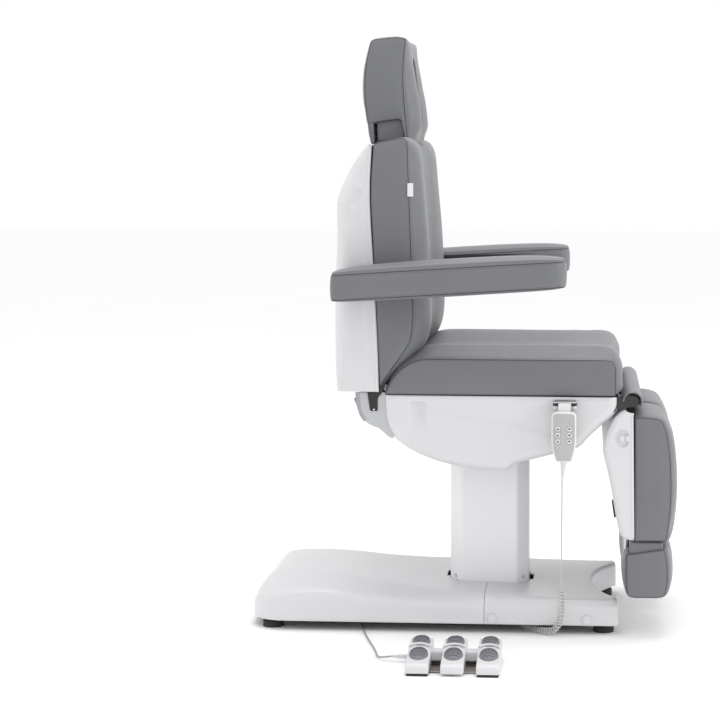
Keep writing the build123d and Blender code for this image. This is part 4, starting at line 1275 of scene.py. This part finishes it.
def split(made, name, x, keep_front):
    """A copy of the surface on one side of a plane across the bed."""
    mesh = made.data.copy()
    half = add_object(name, mesh)
    work = bmesh.new()
    work.from_mesh(mesh)
    plane = metres((x, 0, 0))
    bmesh.ops.bisect_plane(work, geom=work.verts[:] + work.edges[:] + work.faces[:], plane_co=Vector(plane),
                           plane_no=Vector((1, 0, 0)), clear_inner=keep_front, clear_outer=not keep_front)
    work.to_mesh(mesh)
    work.free()
    return half


COLUMN_HALF, COLUMN_CORNER = 107.0, 31.0
CORNER_GROWTH = 0.586


def octagon(half_x, half_y, corner):
    """A rectangle's outline with its corners cut off, anticlockwise."""
    x, y = half_x - corner, half_y - corner
    return [(half_x, -y), (half_x, y), (x, half_y), (-x, half_y), (-half_x, y), (-half_x, -y), (-x, -half_y),
            (x, -half_y)]


def octagon_prism(grow, low, high):
    """Cutter for the column's opening, larger than the outer tube by grow."""
    box = node_box("column_outer_tube")[1]
    ring = octagon(box[0] + grow, box[1] + grow, COLUMN_CORNER + grow * CORNER_GROWTH)
    points = [(x, y, z) for z in (low, high) for x, y in ring]
    return make_mesh("octagon_cutter", points, capped(2, 8), WHITE)


def base_covers():
    whole = base_surface()
    for name, keep_front, node in (("base_cover_rear", False, "base_rear_cover"),
                                   ("base_cover_front", True, "base_front_cover")):
        x = BASE_SPLIT + (SPLIT_GAP if keep_front else -SPLIT_GAP)
        cover = thicken(split(whole, name, x, keep_front), SHELL_WALL, sharp=30)
        cut_away(cover, octagon_prism(2.0, 40, 200), block((-119, 119), (-34, 34), (60, 200)), sharp=30)
        fix(cover, "base", "white_cover", node)
    bpy.data.objects.remove(whole)
    for side, sign in BOTH_SIDES:
        for end, x in (("rear", 16.0), ("front", 266.0)):
            circle = circle_line(x, PLUG_HEIGHT, PLUG_RADIUS, PLUG_RADIUS, 48)
            low, high = sorted((sign * (BASE_HALF - 1), sign * (BASE_HALF + 5.0)))
            plug = slab(f"cover_plug_{end}_{side}", circle, "y", low, high, WHITE, edge=2.2, count=48)
            fix(plug, "base", "white_cover")


def column():
    """Two lacquered octagonal tubes with softened corners; their white is painted lighter than the covers'
    white to offset the seat's shadow on them.
    """
    for name, node, body in (("column_outer", "column_outer_tube", "base"),
                             ("column_inner", "column_inner_tube", "lift")):
        low, high = node_box(node)
        corner = COLUMN_CORNER - (COLUMN_HALF - high[0]) * CORNER_GROWTH
        loop = even_loop(rounded(octagon(high[0], high[1], corner), 5.0), 320)
        normals = outward(loop)
        rows = [(0.0, low[2]), (0.0, high[2] - 1.2), (0.4, high[2] - 0.4), (1.2, high[2]), (2.8, high[2]),
                (3.6, high[2] - 0.6), (4.0, high[2] - 1.6), (4.0, low[2])]
        points = [np.column_stack([loop - normals * inset_by, np.full(len(loop), z)]) for inset_by, z in rows]
        points.append(points[0])
        faces = grid_faces(len(points), len(loop), wrap=True)
        fix(make_mesh(name, np.vstack(points), faces, WHITE_TUBE_LIGHTENED, sharp=25), body, "column_paint", node)


# ---- hand and foot controls ------------------------------------------------------------------
HANDSET = node_box("handset_body")
HANDSET_FACE_Y = HANDSET[0][1]
FUNCTIONS = ("height", "backrest", "tilt")
CONTROLS = [(f"{name}_{way}", way) for name in FUNCTIONS for way in ("up", "down")]
LAMP_HEIGHT = 577.0


def node_centre(node):
    low, high = node_box(node)
    return (low + high) / 2


KEY_RADIUS, KEY_WELL_RADIUS, KEY_MARK = 6.2, 7.0, 3.9


def arrow(name, centre, size, up, level, body):
    """A small raised arrowhead on a key."""
    tip = size if up else -size
    outline = [(centre[0] - size, centre[2] - tip * 0.6), (centre[0] + size, centre[2] - tip * 0.6),
               (centre[0], centre[2] + tip * 0.8)]
    if not up:
        outline = outline[::-1]
    mark = slab(name, outline, "y", level - 0.35, level + 0.6, DARK, edge=0.15, count=30)
    fix(mark, body, "dark_plastic")


def strain_relief(name, start, end, count, taper, ribs, height, ribbed, material, sides):
    """A sleeve narrowing along a cord, with square ribs between two shares of its length."""
    start, end = np.array(start, float), np.array(end, float)
    share = np.linspace(0, 1, count)
    steps = height * np.sign(np.sin(share * 2 * math.pi * ribs)) * (share > ribbed[0]) * (share < ribbed[1])
    return tube(name, start + (end - start) * share[:, None], taper(share) + steps, material, count=sides)


def handset():
    outline = rounded([(174, 513), (184.5, 472), (226.5, 472), (237.5, 513), (237.5, 601), (174, 601)],
                      [34, 9, 9, 34, 15, 15])
    level = HANDSET_FACE_Y
    case = slab("handset_case", outline, "y", level + 0.8, level + 22, HANDSET_WHITE, edge=4.5)
    inset = even_loop(np.array(outline), 96)
    inset = inset - outward(inset) * 3.8
    panel = slab("handset_panel", inset, "y", level - 0.2, level + 4, HANDSET_FACE, edge=0.8)
    keys = [node_centre(f"button_{control}") for control, _ in CONTROLS]
    pieces = [case, panel]
    for piece in pieces:
        wells = [round_bar("well", (x, level - 2, z), (x, level + 6, z), KEY_WELL_RADIUS, DARK)
                 for x, _, z in keys]
        cut_away(piece, *wells)
    for x in (keys[0][0], keys[1][0]):
        for name, proud, radius, material in (("lamp_ring", 0.5, 3.0, HANDSET_WHITE),
                                              ("lamp", 0.9, 1.9, DARK)):
            pieces.append(round_bar(name, (x, level - proud, LAMP_HEIGHT), (x, level + 2, LAMP_HEIGHT),
                                    radius, material))
    pieces.append(strain_relief("handset_relief", (205.0, -343.5, 474.0), HAND_LEAD[0], 66,
                                lambda share: 9.0 - 6.0 * share ** 0.8, 11, 1.0, (0.08, 0.97),
                                HANDSET_WHITE, 24))
    hook_line = box_outline((191, 222), (592, 621), 4)
    pieces.append(slab("handset_hook", hook_line, "y", -338.5, -331.5, HANDSET_WHITE, edge=1.2))
    fix(join("handset_shell", pieces), "seat", "handset_white", "handset_body")
    for (control, way), key in zip(CONTROLS, keys):
        body = f"button_{control}"
        ring = circle_line(key[0], key[2], KEY_RADIUS, KEY_RADIUS)
        cap = slab(f"key_{control}", ring, "y", level - 1.4, level + 3, BUTTON_WHITE, edge=1.1, count=40)
        fix(cap, body, "button_white", body)
        arrow(f"key_mark_{control}", key, KEY_MARK, way == "up", level - 1.5, body)


def handset_hanger():
    """Bent metal strip with its two clamp screws."""
    strip = slab("hanger_plate", box_outline((178, 238), (600, 624), 3), "y", -303.2, -300.4, ZINC, edge=0.6)
    shelf = slab("hanger_shelf", box_outline((178, 238), (-330, -300), 3), "z", 621, 624, ZINC, edge=0.6)
    tongue_line = box_outline((192, 224), (604, 624), 2)
    tongue = slab("hanger_tongue", tongue_line, "y", -331.5, -328.7, ZINC, edge=0.6)
    pieces = [strip, shelf, tongue]
    for x in (185.0, 231.0):
        pieces.append(round_bar("screw", (x, -309, 607.5), (x, -302, 607.5), 4.6, ZINC, edge=1.4))
        clamp_line = box_outline((x - 8, x + 8), (614, 619), 2)
        pieces.append(slab("clamp", clamp_line, "y", -331, -303, DARK, edge=1.0, count=40))
    fix(join("handset_hanger", pieces), "seat", "zinc_screw", "handset_bracket")


# For each way: half width, half length, slope, middle, height and the depth of its well's floor.
PEDAL_SHAPES = {"down": (22.5, 25.5, 0.33, -611.0, 41.5, 13.0), "up": (21.5, 20.0, 0.28, -532.0, 54.0, 26.0)}
PEDAL_SINK = 12.0
PEDAL_DOME = [(0.8, 1.9), (0.6, 4.0), (0.4, 5.4), (0.2, 6.2)]
MODULE_HALF = 28.2


def foot_module(index):
    """One wedge-shaped housing: white case, pedal wells and the ridge between the pedals."""
    centre = node_centre(f"pedal_{FUNCTIONS[index]}_up")[0]
    front = node_box("foot_control_housings")[0][1]
    outline = rounded([(front, 6), (-500, 6), (-500, 46), (-507, 54), (-520, 54), (-556, 44), (-566, 50),
                       (-577, 51.5), (-602, 41), (-632, 33.5), (-657, 29), (front, 22)],
                      [3, 3, 8, 6, 8, 6, 5, 5, 14, 20, 7, 6])
    case = slab(f"foot_case_{index}", outline, "x", centre - MODULE_HALF, centre + MODULE_HALF, WHITE,
                edge=4.0, count=160)
    wells = []
    for half_x, half_y, _, y_middle, _, floor in PEDAL_SHAPES.values():
        ring = circle_line(centre, y_middle, half_x + 1.0, half_y + 1.0, 64)
        wells.append(slab("well", ring, "z", floor, 90.0, WHITE, edge=0.3, count=64))
    pieces = [cut_away(case, *wells)]
    arc = [(centre + 25.8 * math.sin(t), -587 + 15 * math.cos(t), 52.0 + 4.0 * math.cos(t))
           for t in np.linspace(-1.4, 1.4, 30)]
    pieces.append(tube("foot_ridge", arc, 2.8, WHITE, count=12))
    return join(f"foot_module_{FUNCTIONS[index]}", pieces)


def foot_control():
    modules = [foot_module(index) for index in range(3)]
    for index, module in enumerate(modules):
        nodes = ("foot_control_housings",) if index == 0 else ()
        fix(module, "base", "white_cover", *nodes)
    centres = [node_centre(f"pedal_{name}_up")[0] for name in FUNCTIONS]
    for left, right, number in ((centres[0], centres[1], 1), (centres[1], centres[2], 2)):
        bar_line = box_outline((-580, -548), (14, 40), 5)
        bar = slab(f"foot_bar_{number}", bar_line, "x", left + 27, right - 27, WHITE, edge=1.0, count=60)
        fix(bar, "base", "white_cover")
        strip_line = box_outline((-583, -550), (9.5, 14.5), 1)
        strip = slab(f"foot_bar_strip_{number}", strip_line, "x", left + 27.5, right - 27.5, DARK, edge=0.3,
                     count=60)
        fix(strip, "base", "dark_plastic")
    relief = strain_relief("foot_cord_relief", (centres[0] - 27.5, -541.0, 14.0), FOOT_CORD[0], 60,
                           lambda share: 6.2 - 3.0 * share, 8, 0.9, (0.1, 0.96), WHITE, 20)
    fix(relief, "base", "white_cover")
    for control, way in CONTROLS:
        fix(pedal(control, way), f"pedal_{control}", "pedal_grey", f"pedal_{control}")


def pedal(control, way):
    """A domed rubber pad with wavy grip ribs and a rolled border; near-black tubes along the ribs and inside
    the border paint the shade of the grooves.
    """
    x_middle = node_centre(f"pedal_{control}")[0]
    half_x, half_y, slope, y_middle, top, _ = PEDAL_SHAPES[way]
    border_rises = [(1.0, -PEDAL_SINK), (1.0, 0), (0.985, 1.6), (0.94, 2.6), (0.87, 2.4), (0.84, 1.6)]
    rises = border_rises + PEDAL_DOME + [(0.06, 6.5)]
    rows = []
    for share, rise in rises:
        ring = circle_line(x_middle, y_middle, half_x * share, half_y * share, 64)
        rows.append(np.column_stack([ring, top + rise + slope * (ring[:, 1] - y_middle)]))
    pieces = [make_mesh("pedal_pad", np.vstack(rows), capped(len(rows), 64), PEDAL_GREY)]
    border = circle_line(x_middle, y_middle, half_x * 0.855, half_y * 0.855, 64)
    border = np.column_stack([border, top + 1.7 + slope * (border[:, 1] - y_middle)])
    pieces.append(tube("border", np.vstack([border, border[:1]]), 1.0, PEDAL_GROOVE_SHADE, count=8))
    for row in (-0.48, -0.16, 0.16, 0.48):
        reach = math.sqrt(0.62 - row ** 2) * 0.95
        line = []
        for t in np.linspace(-reach, reach, 41):
            dip = row + 0.07 * math.cos(t * 16)
            far = math.hypot(t, dip)
            rise = np.interp(far, *np.transpose([(0.0, 6.5)] + PEDAL_DOME[::-1]))
            y = y_middle + half_y * dip
            line.append((x_middle + half_x * t, y, top + rise + slope * (y - y_middle) + 0.1))
        pieces.append(tube("rib", line, 1.1, PEDAL_GROOVE_SHADE, count=8))
    return join(f"pedal_pad_{control}", pieces)


# ---- small details ---------------------------------------------------------------------------
def fabric_tag():
    """The blank woven tag sewn into the backrest's near front seam."""
    points = []
    for z in np.linspace(1150, 1184, 12):
        for share in np.linspace(0, 1, 8):
            curl = 3.0 * math.sin(share * 1.8)
            points.append((-199 + 15 * share, -306.5 - curl * 0.6, z + 0.5 * math.sin(share * 3)))
    tag = make_mesh("fabric_tag", points, grid_faces(12, 8), LABEL)
    fix(thicken(tag, 0.9), "backrest", "upholstery")


def hinge_covers():
    """Grey side collars of the back hinge with their tapered, ribbed black brackets."""
    collar = rounded([(-336, 641), (-334, 609), (-324, 580), (-313, 565), (-296, 553), (-276, 547),
                      (-262, 534), (-248, 522), (-237, 520), (-240, 560), (-246, 636), (-262, 641)],
                     [4, 40, 30, 30, 30, 16, 20, 8, 3, 10, 6, 6])
    band = rounded([(-338, 641), (-336, 608), (-326, 578), (-315, 563), (-309, 569), (-320, 584), (-326, 610),
                    (-326, 641)], [2, 40, 30, 2, 2, 30, 40, 2])
    bracket = rounded([(-307, 652), (-306, 640), (-299, 592), (-279, 592), (-279, 627), (-266, 640),
                       (-256, 664), (-268, 668), (-284, 650)], [3, 6, 4, 4, 8, 8, 4, 4, 10])
    for side, sign in BOTH_SIDES:
        def level(near, far):
            return sorted((sign * near, sign * far))
        plate = slab(f"hinge_collar_{side}", collar, "y", *level(289.6, 292.4), LIGHT_GREY, edge=0.8,
                     count=120)
        fix(plate, "seat", "grey_cover")
        pieces = [slab("band", band, "y", *level(292.0, 293.4), GALVANISED, edge=0.4, count=120),
                  slab("bracket", bracket, "y", *level(291.6, 295.0), DARK, edge=1.0, count=140)]
        for k in range(9):
            z = 600 + 5.2 * k
            left, right = np.interp(z, [592, 640], [-298, -304.5]), -281.5
            line = [(x, sign * 295.0, z) for x in np.linspace(left, right, 4)]
            pieces.append(tube("rib", line, 0.8, DARK, count=8))
        pieces.append(round_bar("bolt", (-289, sign * 294, 596), (-289, sign * 296, 596), 2.8, ZINC, count=6,
                                edge=0.4))
        fix(join(f"hinge_bracket_{side}", pieces), "seat", "dark_plastic")


# ---- stage, light and camera -----------------------------------------------------------------
CAMERA_AT = (0.3346, -4.7923, 1.223)
CAMERA_YAW, CAMERA_PITCH = -3.849, -3.133
CAMERA_LENS = 89.71
CAMERA_SHIFT = (-0.15, -0.13)


def make_camera():
    data = bpy.data.cameras.new("camera")
    data.lens = CAMERA_LENS
    data.sensor_width = 36.0
    data.shift_x, data.shift_y = CAMERA_SHIFT
    data.clip_end = 100.0
    camera = add_object("camera", data)
    yaw, pitch = math.radians(CAMERA_YAW), math.radians(CAMERA_PITCH)
    ahead = Vector((math.sin(yaw) * math.cos(pitch), math.cos(yaw) * math.cos(pitch), math.sin(pitch)))
    camera.location = CAMERA_AT
    camera.rotation_euler = ahead.to_track_quat("-Z", "Y").to_euler()
    bpy.context.scene.camera = camera


def soft_light(name, place, target, size, watts):
    data = bpy.data.lights.new(name, "AREA")
    data.shape = "RECTANGLE"
    data.size, data.size_y = size
    data.energy = watts
    light = add_object(name, data)
    light.location = place
    light.rotation_euler = (Vector(target) - Vector(place)).to_track_quat("-Z", "Y").to_euler()


def make_studio():
    world = bpy.data.worlds.new("studio")
    bpy.context.scene.world = world
    world.use_nodes = True
    world.node_tree.nodes["Background"].inputs["Color"].default_value = (1.0, 1.0, 1.0, 1.0)
    world.node_tree.nodes["Background"].inputs["Strength"].default_value = 1.0
    middle = (0.0, 0.0, 0.7)
    soft_light("light_top", (0.1, 0.3, 4.2), middle, (3.0, 2.6), 75)
    soft_light("light_head_end", (-3.8, -1.0, 1.8), middle, (2.2, 2.4), 12)
    soft_light("light_foot_end", (6.2, -1.8, 3.2), (0.0, 0.0, 1.1), (3.0, 3.0), 122)
    paint = Paint("studio_floor", (0.97, 0.97, 0.97), 0.9)
    paint.vary_colour(paint.noise(1.5), 0.005)
    edge = 30.0
    mesh = bpy.data.meshes.new("floor")
    corners = [(-edge, -edge, 0), (edge, -edge, 0), (edge, edge, 0), (-edge, edge, 0)]
    mesh.from_pydata(corners, [], [(0, 1, 2, 3)])
    mesh.materials.append(paint.material)
    floor = add_object("floor", mesh)
    floor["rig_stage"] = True
    bpy.context.scene.view_settings.view_transform = "Standard"


paint_cad_nodes()
make_camera()
make_studio()
make_cords()
make_upholstery()
seat_tub()
back_cover()
for side, sign in BOTH_SIDES:
    leg_cover(side, sign)
base_covers()
column()
handset()
handset_hanger()
foot_control()
fabric_tag()
hinge_covers()

[[list(map(float, corner)) for corner in box] for box in (cad_box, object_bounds())]
